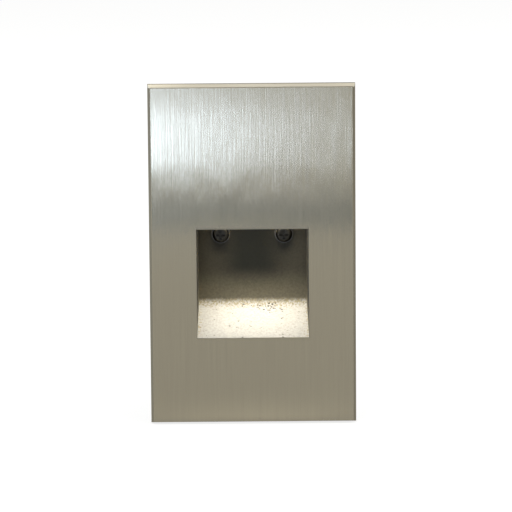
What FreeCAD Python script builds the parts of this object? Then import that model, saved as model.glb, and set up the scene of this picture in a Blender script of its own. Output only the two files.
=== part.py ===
import FreeCAD, Part
import math
import os
import types

import Sketcher

# Recessed step light for a single-gang device box.
#
# Frame: +Z up, the brushed face looks along -Y, the wall's surface is the plane y = 0 and the middle of
# the faceplate is at x = z = 0, which is also the middle of the two device-box screws.
# All lengths are millimetres. "Front" is towards -Y and "back" is towards +Y.

DOC = FreeCAD.newDocument("step_light")

# ---------------------------------------------------------------- driving dimensions
# name, value, meaning. Angles are in degrees; a name that ends in _count is a number of things.
DIMENSIONS = (
    ("plate_width", 76.2, "faceplate at its back edge, 3 in"),
    ("plate_height", 127.0, "faceplate at its back edge, 5 in"),
    ("plate_depth", 4.0, "back edge of the faceplate to its brushed face"),
    ("plate_skin", 1.6, "thickness of the brushed face"),
    ("rim_width", 2.4, "rim round the faceplate's hollow back"),
    ("edge_draft", 0.9, "how far each edge leans in from back to front"),
    ("edge_round", 0.35, "radius where the edges meet the brushed face"),
    ("rib_thick", 1.4, "stiffening rib in the hollow back"),
    ("rib_height", 1.7, "stiffening rib, inwards from the skin"),
    ("rib_pitch", 16.0, "stiffening rib to rib"),
    ("rib_inset", 49.5, "middle of the plate to the near end of a rib"),
    ("gasket_thick", 1.0, "foam gasket, squeezed"),
    ("gasket_width", 5.0, "foam gasket, across the ring"),
    ("opening_width", 41.3, "scoop opening in the face"),
    ("opening_height", 40.7, "scoop opening in the face"),
    ("opening_top", 9.8, "middle of the plate up to the top of the opening"),
    ("pocket_depth", 20.0, "brushed face to the recess's back wall"),
    ("pocket_draft", 0.5, "how far each side wall of the recess leans in"),
    ("pocket_wall", 1.8, "wall of the recess"),
    ("scoop_rise", 8.8, "rise of the scoop from the opening to the back wall"),
    ("scoop_round", 4.0, "radius between the scoop and the back wall"),
    ("window_width", 33.0, "light window in the recess's ceiling"),
    ("window_length", 12.0, "light window, front to back"),
    ("window_front", 6.5, "brushed face to the front of the light window"),
    ("window_round", 1.2, "radius of the light window's corners"),
    ("screw_spacing", 23.6, "faceplate screw to faceplate screw"),
    ("screw_drop", 5.1, "top of the opening down to the faceplate screws"),
    ("screw_hole", 4.4, "faceplate screw's hole in the back wall"),
    ("screw_thread", 4.0, "faceplate screw's thread, M4"),
    ("screw_length", 10.0, "faceplate screw under its head"),
    ("screw_head", 6.2, "faceplate screw's head, across"),
    ("screw_head_height", 2.2, "faceplate screw's head"),
    ("screw_dome", 1.3, "radius of the head's rounded top"),
    ("screw_point", 0.6, "chamfer at the end of the thread"),
    ("recess_width", 0.9, "cross recess, across one arm"),
    ("recess_length", 3.4, "cross recess, tip to tip"),
    ("recess_depth", 1.1, "cross recess"),
    ("pan_rim", 0.45, "upright rim of a pan head, share of its height"),
    ("pan_top", 0.72, "flat top of a pan head, share of its width"),
    ("large_recess", 0.9, "cross recess of an M3 or M3.5 screw, share of the faceplate screws' recess"),
    ("small_recess", 0.75, "cross recess of an M2.5 screw, likewise"),
    ("tiny_recess", 0.6, "cross recess of an M2 screw, likewise"),
    ("washer_outer", 7.0, "sealing washer"),
    ("washer_inner", 4.2, "sealing washer"),
    ("washer_thick", 0.8, "sealing washer"),
    ("thread_gap", 0.05, "play between a screw and its thread, at the radius"),
    ("housing_width", 50.0, "rear housing"),
    ("housing_height", 72.0, "rear housing"),
    ("housing_back", 35.5, "wall to the housing's back rim"),
    ("housing_wall", 2.0, "rear housing's wall"),
    ("housing_round", 3.0, "rear housing's outer corners"),
    ("housing_draft", 0.4, "lean of the housing's outer sides, degrees"),
    ("flange_width", 63.0, "housing's mounting flange"),
    ("flange_height", 74.8, "housing's mounting flange"),
    ("flange_thick", 1.4, "housing's mounting flange"),
    ("partition_front", 18.0, "wall to the housing's partition"),
    ("partition_thick", 1.8, "partition between lamp room and driver room"),
    ("boss_radius", 4.0, "housing's boss for a faceplate screw"),
    ("boss_gap", 0.3, "recess's back to the boss's face"),
    ("boss_back", 26.3, "wall to the blind end of a faceplate screw's boss"),
    ("boss_floor", 1.0, "blind end of a boss"),
    ("strap_width", 64.0, "mounting strap"),
    ("strap_height", 97.0, "mounting strap, ear to ear"),
    ("strap_middle", 79.0, "mounting strap's wide middle"),
    ("strap_thick", 1.5, "mounting strap, pressed steel"),
    ("strap_clearance", 0.3, "strap's opening round the housing"),
    ("ear_width", 38.0, "mounting strap's ear"),
    ("ear_round", 5.0, "mounting strap's corners"),
    ("box_spacing", 83.3, "device-box screw to device-box screw, 3 9/32 in"),
    ("box_hole", 4.4, "device-box screw's hole, for a 6-32 screw"),
    ("strap_screw_x", 28.3, "strap screw from the middle"),
    ("strap_screw_z", 26.0, "strap screw from the middle"),
    ("strap_screw_thread", 3.0, "strap screw, M3"),
    ("strap_screw_head", 5.6, "strap screw's countersunk head"),
    ("earth_x", 13.0, "earth screw from the middle of the ear"),
    ("earth_thread", 3.5, "earth screw"),
    ("earth_head", 6.4, "earth screw's head"),
    ("earth_head_height", 1.5, "earth screw's head"),
    ("earth_length", 7.0, "earth screw under its head"),
    ("pillar_x", 20.4, "cover screw from the middle"),
    ("pillar_z", 31.4, "cover screw from the middle"),
    ("pillar_radius", 3.4, "corner pillar for a cover screw"),
    ("post_x", 18.5, "board post from the middle"),
    ("post_z", 24.0, "board post from the middle"),
    ("post_radius", 2.4, "post that carries the driver board"),
    ("post_end", 31.7, "wall to the end of a board post"),
    ("small_thread", 2.5, "screws of the cover and the heat sink, M2.5"),
    ("small_head", 4.6, "their heads"),
    ("small_head_height", 1.7, "their heads"),
    ("small_length", 6.0, "their length under the head"),
    ("end_gap", 0.5, "end of a screw to the blind end of its hole"),
    ("tiny_thread", 2.0, "screws of the lamp and the driver board, M2"),
    ("tiny_head", 3.6, "their heads"),
    ("tiny_head_height", 1.3, "driver board screw's head"),
    ("board_screw_length", 5.0, "driver board screw under its head"),
    ("cover_gasket_thick", 0.8, "gasket under the rear cover"),
    ("cover_thick", 2.0, "rear cover"),
    ("cover_pad", 1.0, "raised pad round the lead inlet"),
    ("cover_inset", 0.28, "rear cover inside the housing's back rim"),
    ("inlet_z", -22.0, "lead inlet, from the middle"),
    ("inlet_hole", 10.0, "lead inlet's hole in the cover"),
    ("inlet_pad", 17.0, "raised pad, across"),
    ("grommet_flange", 14.0, "lead grommet's flanges"),
    ("grommet_bore", 6.0, "lead grommet's bore"),
    ("grommet_lip", 1.2, "lead grommet's flanges"),
    ("grommet_face", 12.0, "lead grommet's outer face, across"),
    ("lamp_floor", 12.1, "middle of the plate up to the lamp's underside"),
    ("lamp_front", 0.0, "wall to the front of the reflector"),
    ("lamp_width", 40.0, "reflector"),
    ("lamp_length", 15.0, "reflector, front to back"),
    ("retainer_thick", 0.9, "lens retainer"),
    ("lens_width", 32.4, "lens"),
    ("lens_length", 12.4, "lens"),
    ("lens_thick", 1.2, "lens's rim"),
    ("lens_step", 0.8, "lens's raised middle, which fills the retainer's window"),
    ("lens_window_width", 30.0, "retainer's window"),
    ("lens_window_length", 9.6, "retainer's window"),
    ("lens_gasket_thick", 0.6, "lens gasket"),
    ("reflector_height", 5.2, "reflector"),
    ("reflector_throat", 4.6, "reflector at the lamps, front to back"),
    ("lamp_screw_x", 18.0, "lamp screw from the middle"),
    ("lamp_screw_y", 4.0, "lamp screw in front of and behind the reflector's middle"),
    ("lamp_screw_length", 10.5, "lamp screw, end to end"),
    ("chip_size", 3.0, "LED package"),
    ("chip_height", 0.9, "LED package"),
    ("chip_pitch", 4.8, "LED package to LED package"),
    ("chip_count", 6, "LED packages"),
    ("led_board_length", 16.9, "LED board, with its tail for the leads"),
    ("led_board_thick", 1.6, "LED board"),
    ("pad_thick", 0.4, "thermal pad, squeezed"),
    ("sink_base", 3.0, "heat sink's base"),
    ("sink_width", 41.0, "heat sink"),
    ("sink_top", 33.6, "middle of the plate up to the heat sink's top"),
    ("sink_back", 2.2, "heat sink's upright back"),
    ("fin_thick", 1.2, "heat sink's fin"),
    ("fin_pitch", 3.5, "fin to fin"),
    ("fin_count", 9, "fins"),
    ("sink_screw_z", 28.2, "heat sink screw from the middle"),
    ("sink_boss_back", 22.5, "wall to the end of a heat sink screw's boss"),
    ("lead_x", 8.0, "middle of the two LED leads"),
    ("lead_z", 16.6, "LED leads through the partition"),
    ("lead_pitch", 3.2, "LED lead to LED lead"),
    ("lead_diameter", 1.2, "LED lead over its insulation"),
    ("lead_lift", 2.6, "LED lead's rise to its connector"),
    ("lead_grip", 0.6, "LED lead's end inside a connector"),
    ("connector_width", 7.4, "LED leads' connectors"),
    ("connector_height", 6.0, "driver board's connector for the LED leads"),
    ("plug_depth", 1.7, "LED board's connector, front to back"),
    ("plug_height", 2.6, "LED board's connector"),
    ("seal_hole", 6.0, "lead seal's hole in the partition"),
    ("seal_front", 7.0, "lead seal's front flange"),
    ("seal_flange", 9.4, "lead seal's back flange"),
    ("seal_lip", 1.0, "lead seal's flanges"),
    ("driver_width", 42.0, "driver board"),
    ("driver_height", 54.0, "driver board"),
    ("driver_thick", 1.6, "driver board"),
    ("notch_width", 12.0, "driver board's notch for the supply leads"),
    ("notch_height", 10.0, "driver board's notch for the supply leads"),
    ("core_z", 1.0, "transformer, up from the middle"),
    ("core_width", 14.0, "transformer core, square from the front"),
    ("core_depth", 6.0, "transformer core"),
    ("core_stand", 2.4, "driver board to the core"),
    ("core_leg", 2.0, "core's outer legs and yokes"),
    ("core_middle", 3.0, "core's leg through the coil"),
    ("coil_rise", 10.2, "coil, off the driver board"),
    ("big_can", 10.0, "input capacitor, across"),
    ("big_can_length", 16.6, "input capacitor"),
    ("big_can_x", -15.2, "input capacitor's foot"),
    ("big_can_z", 21.2, "input capacitor"),
    ("small_can", 8.0, "output capacitor, across"),
    ("small_can_length", 11.0, "output capacitor"),
    ("small_can_x", 16.0, "output capacitor"),
    ("small_can_z", 9.4, "output capacitor's foot"),
    ("can_foot", 1.6, "foot of a can to its rolled groove"),
    ("can_groove", 0.9, "a can's groove, along it"),
    ("can_cut", 0.6, "a can's groove, depth"),
    ("film_x", -1.5, "film capacitor"),
    ("film_z", 12.0, "film capacitor"),
    ("film_width", 11.0, "film capacitor"),
    ("film_height", 4.6, "film capacitor"),
    ("film_rise", 8.5, "film capacitor, off the driver board"),
    ("film_round", 0.6, "film capacitor's edges"),
    ("choke_x", -14.6, "filter choke"),
    ("choke_z", -7.2, "filter choke"),
    ("choke_rise", 8.8, "filter choke, off the driver board"),
    ("choke_waist", 7.0, "filter choke's winding, across"),
    ("choke_rim", 9.0, "filter choke's ends, across"),
    ("choke_lip", 1.4, "filter choke's ends"),
    ("fuse_x", 14.6, "fuse"),
    ("fuse_z", -19.4, "fuse's lower end"),
    ("fuse_length", 8.8, "fuse, end to end"),
    ("fuse_tube", 3.8, "fuse's ceramic tube, across"),
    ("fuse_cap", 4.2, "fuse's plated caps, across"),
    ("fuse_cap_length", 1.6, "fuse's plated caps"),
    ("varistor_x", -16.4, "varistor's left face"),
    ("varistor_z", -16.6, "varistor"),
    ("varistor_disc", 7.6, "varistor, across"),
    ("varistor_thick", 3.2, "varistor"),
    ("varistor_bevel", 0.8, "varistor's sloped rim"),
    ("bridge_x", 14.2, "bridge rectifier"),
    ("bridge_z", -6.4, "bridge rectifier"),
    ("bridge_width", 6.4, "bridge rectifier's package"),
    ("bridge_height", 6.4, "bridge rectifier's package"),
    ("bridge_rise", 2.6, "bridge rectifier, off the driver board"),
    ("bridge_pitch", 4.2, "bridge rectifier's lead to lead"),
    ("bridge_lead_count", 2, "bridge rectifier's leads on a side"),
    ("control_x", -14.0, "control chip"),
    ("control_z", 11.0, "control chip"),
    ("control_width", 3.9, "control chip's package"),
    ("control_height", 4.9, "control chip's package"),
    ("control_rise", 1.7, "control chip, off the driver board"),
    ("control_pitch", 1.27, "control chip's lead to lead"),
    ("control_lead_count", 4, "control chip's leads on a side"),
    ("foot_thick", 0.2, "a chip's lead"),
    ("foot_width", 0.45, "a chip's lead"),
    ("foot_bend", 0.6, "a chip's lead, out from its package to its bend"),
    ("foot_reach", 1.1, "a chip's lead, out from its package to its end"),
    ("foot_root", 0.3, "a chip's lead inside its package"),
    ("terminal_z", -11.6, "supply terminal"),
    ("terminal_width", 15.0, "supply terminal"),
    ("terminal_height", 8.0, "supply terminal"),
    ("terminal_rise", 9.6, "supply terminal, off the driver board"),
    ("terminal_pitch", 5.0, "supply terminal, way to way"),
    ("terminal_mouth", 3.0, "supply terminal's lead holes"),
    ("terminal_mouth_rise", 3.4, "driver board to the middle of a lead hole"),
    ("terminal_mouth_depth", 5.0, "supply terminal's lead holes"),
    ("terminal_screw", 3.4, "supply terminal's screw wells"),
    ("terminal_screw_depth", 1.6, "supply terminal's screw wells"),
)


class Formula:
    """A size worked out from the sheet: its number now, and the words that the document keeps."""

    def __init__(self, number, words):
        self.number = float(number)
        self.words = words

    def __add__(self, other):
        other = formula(other)
        return Formula(self.number + other.number, f"({self.words} + {other.words})")

    def __sub__(self, other):
        other = formula(other)
        return Formula(self.number - other.number, f"({self.words} - {other.words})")

    def __mul__(self, other):
        other = formula(other)
        return Formula(self.number * other.number, f"({self.words} * {other.words})")

    def __truediv__(self, other):
        other = formula(other)
        return Formula(self.number / other.number, f"({self.words} / {other.words})")

    def __neg__(self):
        return Formula(-self.number, f"(0 - {self.words})")

    def __radd__(self, other):
        return formula(other) + self

    def __rsub__(self, other):
        return formula(other) - self

    def __rmul__(self, other):
        return formula(other) * self


def formula(value):
    """The value as a Formula, whether it is one already or a plain number."""
    return value if isinstance(value, Formula) else Formula(value, repr(value))


def inward_lean(across, along):
    """The taper of a side that leans in by one size over the length of another."""
    angle = math.degrees(math.atan2(across.number, along.number))
    return Formula(-angle, f"-atan({across.words} / {along.words})")


def make_sheet():
    """The sheet of driving dimensions, one row each: meaning, value under its alias."""
    sheet = DOC.addObject("Spreadsheet::Sheet", "Sizes")
    for row, (alias, value, meaning) in enumerate(DIMENSIONS, start=1):
        sheet.set(f"A{row}", meaning)
        sheet.set(f"B{row}", str(value))
        sheet.setAlias(f"B{row}", alias)
    DOC.recompute()
    sizes = {alias: Formula(value, f"Sizes.{alias}") for alias, value, _ in DIMENSIONS}
    return types.SimpleNamespace(**sizes)


S = make_sheet()
NODES = []


# ---------------------------------------------------------------- places that several pieces share
HALF = 2  # a size / HALF goes from its middle to one side
BOTH = 2  # a size * BOTH is what two equal sides take together
LEAST_EDGE = 1.0  # an edge shorter than this is the width of a wall or a draft
RIM_Y = -S.gasket_thick
FACE_Y = RIM_Y - S.plate_depth
SKIN_BACK_Y = FACE_Y + S.plate_skin
OPENING_BOTTOM = S.opening_top - S.opening_height
POCKET_BACK_Y = FACE_Y + S.pocket_depth
POCKET_OUTER_Y = POCKET_BACK_Y + S.pocket_wall
SCOOP_TOP = OPENING_BOTTOM + S.scoop_rise
SCREW_Z = S.opening_top - S.screw_drop
WINDOW_Y = FACE_Y + S.window_front
STRAP_FRONT_Y = -S.strap_thick
FLANGE_FRONT_Y = STRAP_FRONT_Y - S.flange_thick
PARTITION_BACK_Y = S.partition_front + S.partition_thick
COVER_Y = S.housing_back + S.cover_gasket_thick
LAMP_Y = S.lamp_front + S.lamp_length / HALF
LENS_Z = S.lamp_floor + S.retainer_thick
LAMP_BOARD_Z = LENS_Z + S.reflector_height
SINK_Z = LAMP_BOARD_Z + S.led_board_thick + S.pad_thick
CHIP_Z = LAMP_BOARD_Z - S.chip_height
PLUG_BACK_Y = S.lamp_front + S.led_board_length
BEND_Y = PARTITION_BACK_Y + S.seal_lip + S.lead_grip
SOCKET_Y = BEND_Y + S.lead_lift * BOTH
BOARD_FRONT_Y = S.post_end
BOARD_BACK_Y = BOARD_FRONT_Y + S.driver_thick

TO_FRONT = FreeCAD.Rotation(FreeCAD.Vector(0, 0, 1), FreeCAD.Vector(0, -1, 0))
TO_BACK = FreeCAD.Rotation(FreeCAD.Vector(0, 0, 1), FreeCAD.Vector(0, 1, 0))
TO_RIGHT = FreeCAD.Rotation(FreeCAD.Vector(0, 0, 1), FreeCAD.Vector(1, 0, 0))
DOWN = FreeCAD.Rotation(FreeCAD.Vector(1, 0, 0), 180)
UP = FreeCAD.Rotation()
SIGNS = (-1, 1)
CORNERS = tuple((across, along) for across in SIGNS for along in SIGNS)


# ---------------------------------------------------------------- binding helpers
def bind(thing, **sizes):
    """Binds properties of a document object to formulas; Base_x stands for Placement.Base.x."""
    for name, size in sizes.items():
        path = name.replace("Base_", "Placement.Base.")
        thing.setExpression(path, formula(size).words)


def add(kind, name, **sizes):
    """A new document object of this kind, with its sizes bound."""
    thing = DOC.addObject(kind, name)
    bind(thing, **sizes)
    return thing


def put(thing, x, y, z, turn=UP):
    """Turns a piece and binds its place."""
    thing.Placement = FreeCAD.Placement(FreeCAD.Vector(), turn)
    bind(thing, Base_x=x, Base_y=y, Base_z=z)
    return thing


def node(thing, label):
    """Marks a document object as one finished piece of the light."""
    thing.Label = label
    NODES.append(thing)
    return thing


# ---------------------------------------------------------------- helpers for sketched bodies
def new_body(name):
    """An empty sketched body."""
    return DOC.addObject("PartDesign::Body", name)


def origin_feature(body, role):
    """One of the body's own origin planes or axes."""
    return next(feature for feature in body.Origin.OriginFeatures if feature.Role == role)


def sketch_on(body, role, level):
    """A sketch parallel to one of the body's origin planes, moved along that plane's normal."""
    sketch = body.newObject("Sketcher::SketchObject", "Sketch")
    sketch.AttachmentSupport = (origin_feature(body, role), [""])
    sketch.MapMode = "FlatFace"
    sketch.setExpression("AttachmentOffset.Base.z", formula(level).words)
    return sketch


def front_sketch(body, y):
    """A sketch that faces the viewer: its x is X, its y is Z, and its normal is -Y."""
    return sketch_on(body, "XZ_Plane", -formula(y))


def plan_sketch(body, z):
    """A sketch seen from above: its x is X, its y is Y, and its normal is +Z."""
    return sketch_on(body, "XY_Plane", z)


def hold(sketch, geometry, point, x, y):
    """Holds a point of the sketch at x, y from the origin, both bound to the sheet."""
    for kind, size in (("DistanceX", formula(x)), ("DistanceY", formula(y))):
        held = sketch.addConstraint(Sketcher.Constraint(kind, -1, 1, geometry, point, size.number))
        sketch.setExpression(f"Constraints[{held}]", size.words)


def polygon(sketch, corners):
    """A closed outline through the corners."""
    first = sketch.GeometryCount
    spots = [FreeCAD.Vector(formula(x).number, formula(y).number, 0) for x, y in corners]
    for start, end in zip(spots, spots[1:] + spots[:1]):
        sketch.addGeometry(Part.LineSegment(start, end), False)
    for number, (x, y) in enumerate(corners):
        before = first + (number - 1) % len(corners)
        sketch.addConstraint(Sketcher.Constraint("Coincident", before, 2, first + number, 1))
        hold(sketch, first + number, 1, x, y)
    return sketch


def rectangle(sketch, width, height, x=0, y=0):
    """A rectangle of this size round the point x, y."""
    half_width = formula(width) / HALF
    half_height = formula(height) / HALF
    return polygon(sketch, [(x + across * half_width, y + along * half_height)
                            for across, along in ((-1, -1), (1, -1), (1, 1), (-1, 1))])


def circle(sketch, diameter, x=0, y=0):
    """A circle round the point x, y."""
    radius = formula(diameter) / HALF
    centre = FreeCAD.Vector(formula(x).number, formula(y).number, 0)
    round_one = sketch.addGeometry(Part.Circle(centre, FreeCAD.Vector(0, 0, 1), radius.number), False)
    held = sketch.addConstraint(Sketcher.Constraint("Radius", round_one, radius.number))
    sketch.setExpression(f"Constraints[{held}]", radius.words)
    hold(sketch, round_one, 3, x, y)
    return sketch


def pad(body, sketch, length, reverse=False, taper=None):
    """Adds the sketch's outline along its normal, or against it."""
    before = body.Shape.Volume if body.Tip else 0.0
    feature = body.newObject("PartDesign::Pad", "Pad")
    feature.Profile = sketch
    feature.Reversed = reverse
    bind(feature, Length=length)
    if taper is not None:
        bind(feature, TaperAngle=taper)
    DOC.recompute()
    if body.Shape.Volume <= before:
        raise ValueError(f"{body.Name}: a pad added nothing")
    return feature


def pocket(body, sketch, depth, reverse=False):
    """Cuts the sketch's outline against its normal, or along it."""
    before = body.Shape.Volume
    feature = body.newObject("PartDesign::Pocket", "Pocket")
    feature.Profile = sketch
    feature.Reversed = reverse
    bind(feature, Length=depth)
    DOC.recompute()
    if body.Shape.Volume >= before:
        raise ValueError(f"{body.Name}: a pocket cut nothing")
    return feature


def loft(body, kind, first, last):
    """Adds or cuts a straight-sided form between two sketches."""
    feature = body.newObject(f"PartDesign::{kind}Loft", kind)
    feature.Profile = first
    feature.Sections = [last]
    feature.Ruled = True
    DOC.recompute()
    return feature


def edges_where(shape, wanted):
    """Names of the shape's edges whose box passes the test."""
    return [f"Edge{number}" for number, edge in enumerate(shape.Edges, start=1) if wanted(edge.BoundBox)]


def fillet(body, radius, wanted):
    """Rounds the body's edges whose box passes the test."""
    names = edges_where(body.Shape, wanted)
    if not names:
        raise ValueError(f"{body.Name}: no edge to round")
    base = body.Tip
    feature = body.newObject("PartDesign::Fillet", "Fillet")
    feature.Base = (base, names)
    bind(feature, Radius=radius)
    DOC.recompute()
    if "Invalid" in feature.State:
        raise ValueError(f"{body.Name}: {feature.getStatusString()} for {names}")
    return feature


def close(first, second):
    """True where two numbers are the same length to a hundredth of a millimetre."""
    return abs(first - second) < 0.01


def upright_corner(box, least=LEAST_EDGE):
    """True for the box of an edge that runs along Y for at least this far, leaning a little at most."""
    return box.YLength > least and box.XLength < LEAST_EDGE and box.ZLength < LEAST_EDGE


def flat_at(box, y):
    """True for the box of an edge that lies in the plane at this depth."""
    return close(box.YMin, y.number) and close(box.YMax, y.number)


# ---------------------------------------------------------------- helpers for plain pieces
def block(name, x, y, z, width, depth, height):
    """A block from its least corner: width along X, depth along Y, height along Z."""
    return put(add("Part::Box", name, Length=width, Width=depth, Height=height), x, y, z)


def rod(name, diameter, length, x, y, z, turn=UP):
    """A round bar that starts at x, y, z and runs along the turned Z axis."""
    return put(add("Part::Cylinder", name, Radius=formula(diameter) / HALF, Height=length), x, y, z, turn)


def cone(name, low, high, length, x, y, z, turn=UP):
    """A cone between two diameters that starts at x, y, z and runs along the turned Z axis."""
    sizes = {"Radius1": formula(low) / HALF, "Radius2": formula(high) / HALF, "Height": length}
    return put(add("Part::Cone", name, **sizes), x, y, z, turn)


def joined(name, pieces):
    """One solid made of several."""
    whole = DOC.addObject("Part::MultiFuse", name)
    whole.Shapes = pieces
    return whole


def without(name, base, tools):
    """The base with the tools taken away."""
    rest = DOC.addObject("Part::Cut", name)
    rest.Base = base
    rest.Tool = tools[0] if len(tools) == 1 else joined(f"{name}_tools", tools)
    return rest


def cross_recess(name, top, scale):
    """The two crossed bars that a screwdriver's tip leaves in a head whose top is at this height."""
    width = S.recess_width * scale
    length = S.recess_length * scale
    depth = S.recess_depth * scale
    long_way = block(f"{name}_slot_a", -length / HALF, -width / HALF, top - depth, length, width, depth)
    short_way = block(f"{name}_slot_b", -width / HALF, -length / HALF, top - depth, width, length, depth)
    return [long_way, short_way]


def pan_screw(name, thread, length, head, head_height, scale):
    """A pan-headed screw about its own origin: head above, thread below."""
    rim = head_height * S.pan_rim
    pieces = [
        rod(f"{name}_thread", thread, length, 0, 0, -length),
        rod(f"{name}_rim", head, rim, 0, 0, 0),
        cone(f"{name}_crown", head, head * S.pan_top, head_height - rim, 0, 0, rim),
    ]
    return without(name, joined(f"{name}_solid", pieces), cross_recess(name, head_height, scale))


def flat_screw(name, thread, length, head, scale):
    """A countersunk screw about its own origin, which is the middle of its flat top."""
    taper = (head - thread) / HALF
    pieces = [
        rod(f"{name}_thread", thread, length, 0, 0, -length),
        cone(f"{name}_head", thread, head, taper, 0, 0, -taper),
    ]
    return without(name, joined(f"{name}_solid", pieces), cross_recess(name, formula(0), scale))


def copies(label, master, spots, turn):
    """One piece made of equal solids, each a turned copy of the master at its own spot."""
    links = []
    for number, (x, y, z) in enumerate(spots, start=1):
        link = DOC.addObject("App::Link", f"{label}_{number}")
        link.setLink(master)
        put(link, x, y, z, turn)
        links.append(link)
    group = DOC.addObject("Part::Compound", f"{label}_group")
    group.Links = links
    return node(group, label)


# ---------------------------------------------------------------- faceplate
def scoop_line(y):
    """Height of the scoop's surface at depth y, along its straight slope."""
    return OPENING_BOTTOM + (y - FACE_Y) * S.scoop_rise / S.pocket_depth


def pocket_section(body, y, offset):
    """The recess's section at depth y, grown by an offset on every side."""
    half_width = S.opening_width / HALF - (y - FACE_Y) * S.pocket_draft / S.pocket_depth + offset
    low = scoop_line(y) - offset
    high = S.opening_top + offset
    corners = [(-half_width, low), (half_width, low), (half_width, high), (-half_width, high)]
    return polygon(front_sketch(body, y), corners)


def add_plate(body):
    """The drafted plate, hollowed from the back, with ribs above and below the strap."""
    outline = rectangle(front_sketch(body, RIM_Y), S.plate_width, S.plate_height)
    pad(body, outline, S.plate_depth, taper=inward_lean(S.edge_draft, S.plate_depth))
    fillet(body, S.edge_round, lambda box: flat_at(box, FACE_Y))
    rim = S.rim_width * BOTH
    hollow = rectangle(front_sketch(body, RIM_Y), S.plate_width - rim, S.plate_height - rim)
    pocket(body, hollow, S.plate_depth - S.plate_skin, reverse=True)
    length = S.plate_height / HALF - S.rim_width - S.rib_inset
    for side in SIGNS:
        for step in (-1, 0, 1):
            sketch = front_sketch(body, SKIN_BACK_Y)
            middle = S.rib_inset + length / HALF
            rectangle(sketch, S.rib_thick, length, S.rib_pitch * step, side * middle)
            pad(body, sketch, S.rib_height, reverse=True)


def add_recess(body):
    """The scoop recess: a sloping shell behind the face, its hollow, and the scoop's rounded top."""
    outer_front = pocket_section(body, FACE_Y + S.plate_skin / HALF, S.pocket_wall)
    outer_back = pocket_section(body, POCKET_OUTER_Y, S.pocket_wall)
    loft(body, "Additive", outer_front, outer_back)
    inner_front = pocket_section(body, FACE_Y, formula(0))
    inner_back = pocket_section(body, POCKET_BACK_Y, formula(0))
    loft(body, "Subtractive", inner_front, inner_back)
    top = SCOOP_TOP.number
    fillet(body, S.scoop_round, lambda box: flat_at(box, POCKET_BACK_Y)
           and close(box.ZMin, top) and close(box.ZMax, top))


def add_recess_holes(body):
    """The round-cornered light window in the ceiling, and the two screw holes in the back wall."""
    window = plan_sketch(body, S.opening_top + S.pocket_wall * BOTH)
    rectangle(window, S.window_width, S.window_length, 0, WINDOW_Y + S.window_length / HALF)
    pocket(body, window, S.pocket_wall * BOTH)
    window_side = (S.window_width / HALF).number
    fillet(body, S.window_round, lambda box: box.ZLength > LEAST_EDGE and box.YLength < LEAST_EDGE
           and close(abs(box.Center.x), window_side))
    holes = front_sketch(body, POCKET_OUTER_Y)
    for side in SIGNS:
        circle(holes, S.screw_hole, side * S.screw_spacing / HALF, SCREW_Z)
    pocket(body, holes, S.pocket_wall, reverse=True)


def make_faceplate():
    """One casting: the plate with its brushed face, and the scoop recess behind the opening."""
    body = new_body("faceplate_body")
    add_plate(body)
    add_recess(body)
    add_recess_holes(body)
    node(body, "faceplate")


def make_wall_gasket():
    """The foam ring that the faceplate's rim presses on the wall."""
    body = new_body("wall_gasket_body")
    inset = S.rim_width / HALF
    sketch = front_sketch(body, 0)
    rectangle(sketch, S.plate_width - inset, S.plate_height - inset)
    band = S.gasket_width * BOTH
    rectangle(sketch, S.plate_width - inset - band, S.plate_height - inset - band)
    pad(body, sketch, S.gasket_thick)
    node(body, "wall_gasket")


def head_profile(body):
    """Half of the faceplate screw's outline, to be turned about Z."""
    head = S.screw_head / HALF
    thread = S.screw_thread / HALF
    return polygon(sketch_on(body, "XZ_Plane", 0), [
        (0, S.screw_head_height),
        (0, -S.screw_length),
        (thread - S.screw_point, -S.screw_length),
        (thread, S.screw_point - S.screw_length),
        (thread, 0),
        (head, 0),
        (head, S.screw_head_height),
    ])


def make_faceplate_screws():
    """The two round-headed screws in the recess, each with its sealing washer."""
    for name, side in (("left", -1), ("right", 1)):
        body = new_body(f"faceplate_screw_{name}_body")
        turned = body.newObject("PartDesign::Revolution", "Revolution")
        turned.Profile = head_profile(body)
        turned.ReferenceAxis = (origin_feature(body, "Z_Axis"), [""])
        DOC.recompute()
        top = S.screw_head_height.number
        fillet(body, S.screw_dome, lambda box: close(box.ZMin, top) and close(box.ZMax, top))
        for width, length in ((S.recess_width, S.recess_length), (S.recess_length, S.recess_width)):
            pocket(body, rectangle(plan_sketch(body, S.screw_head_height), width, length), S.recess_depth)
        x = side * S.screw_spacing / HALF
        seat = POCKET_BACK_Y - S.washer_thick
        node(put(body, x, seat, SCREW_Z, TO_FRONT), f"faceplate_screw_{name}")
        ring = rod(f"washer_{name}_disc", S.washer_outer, S.washer_thick, x, seat, SCREW_Z, TO_BACK)
        hole = rod(f"washer_{name}_hole", S.washer_inner, S.washer_thick, x, seat, SCREW_Z, TO_BACK)
        node(without(f"washer_{name}", ring, [hole]), f"screw_washer_{name}")


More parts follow.
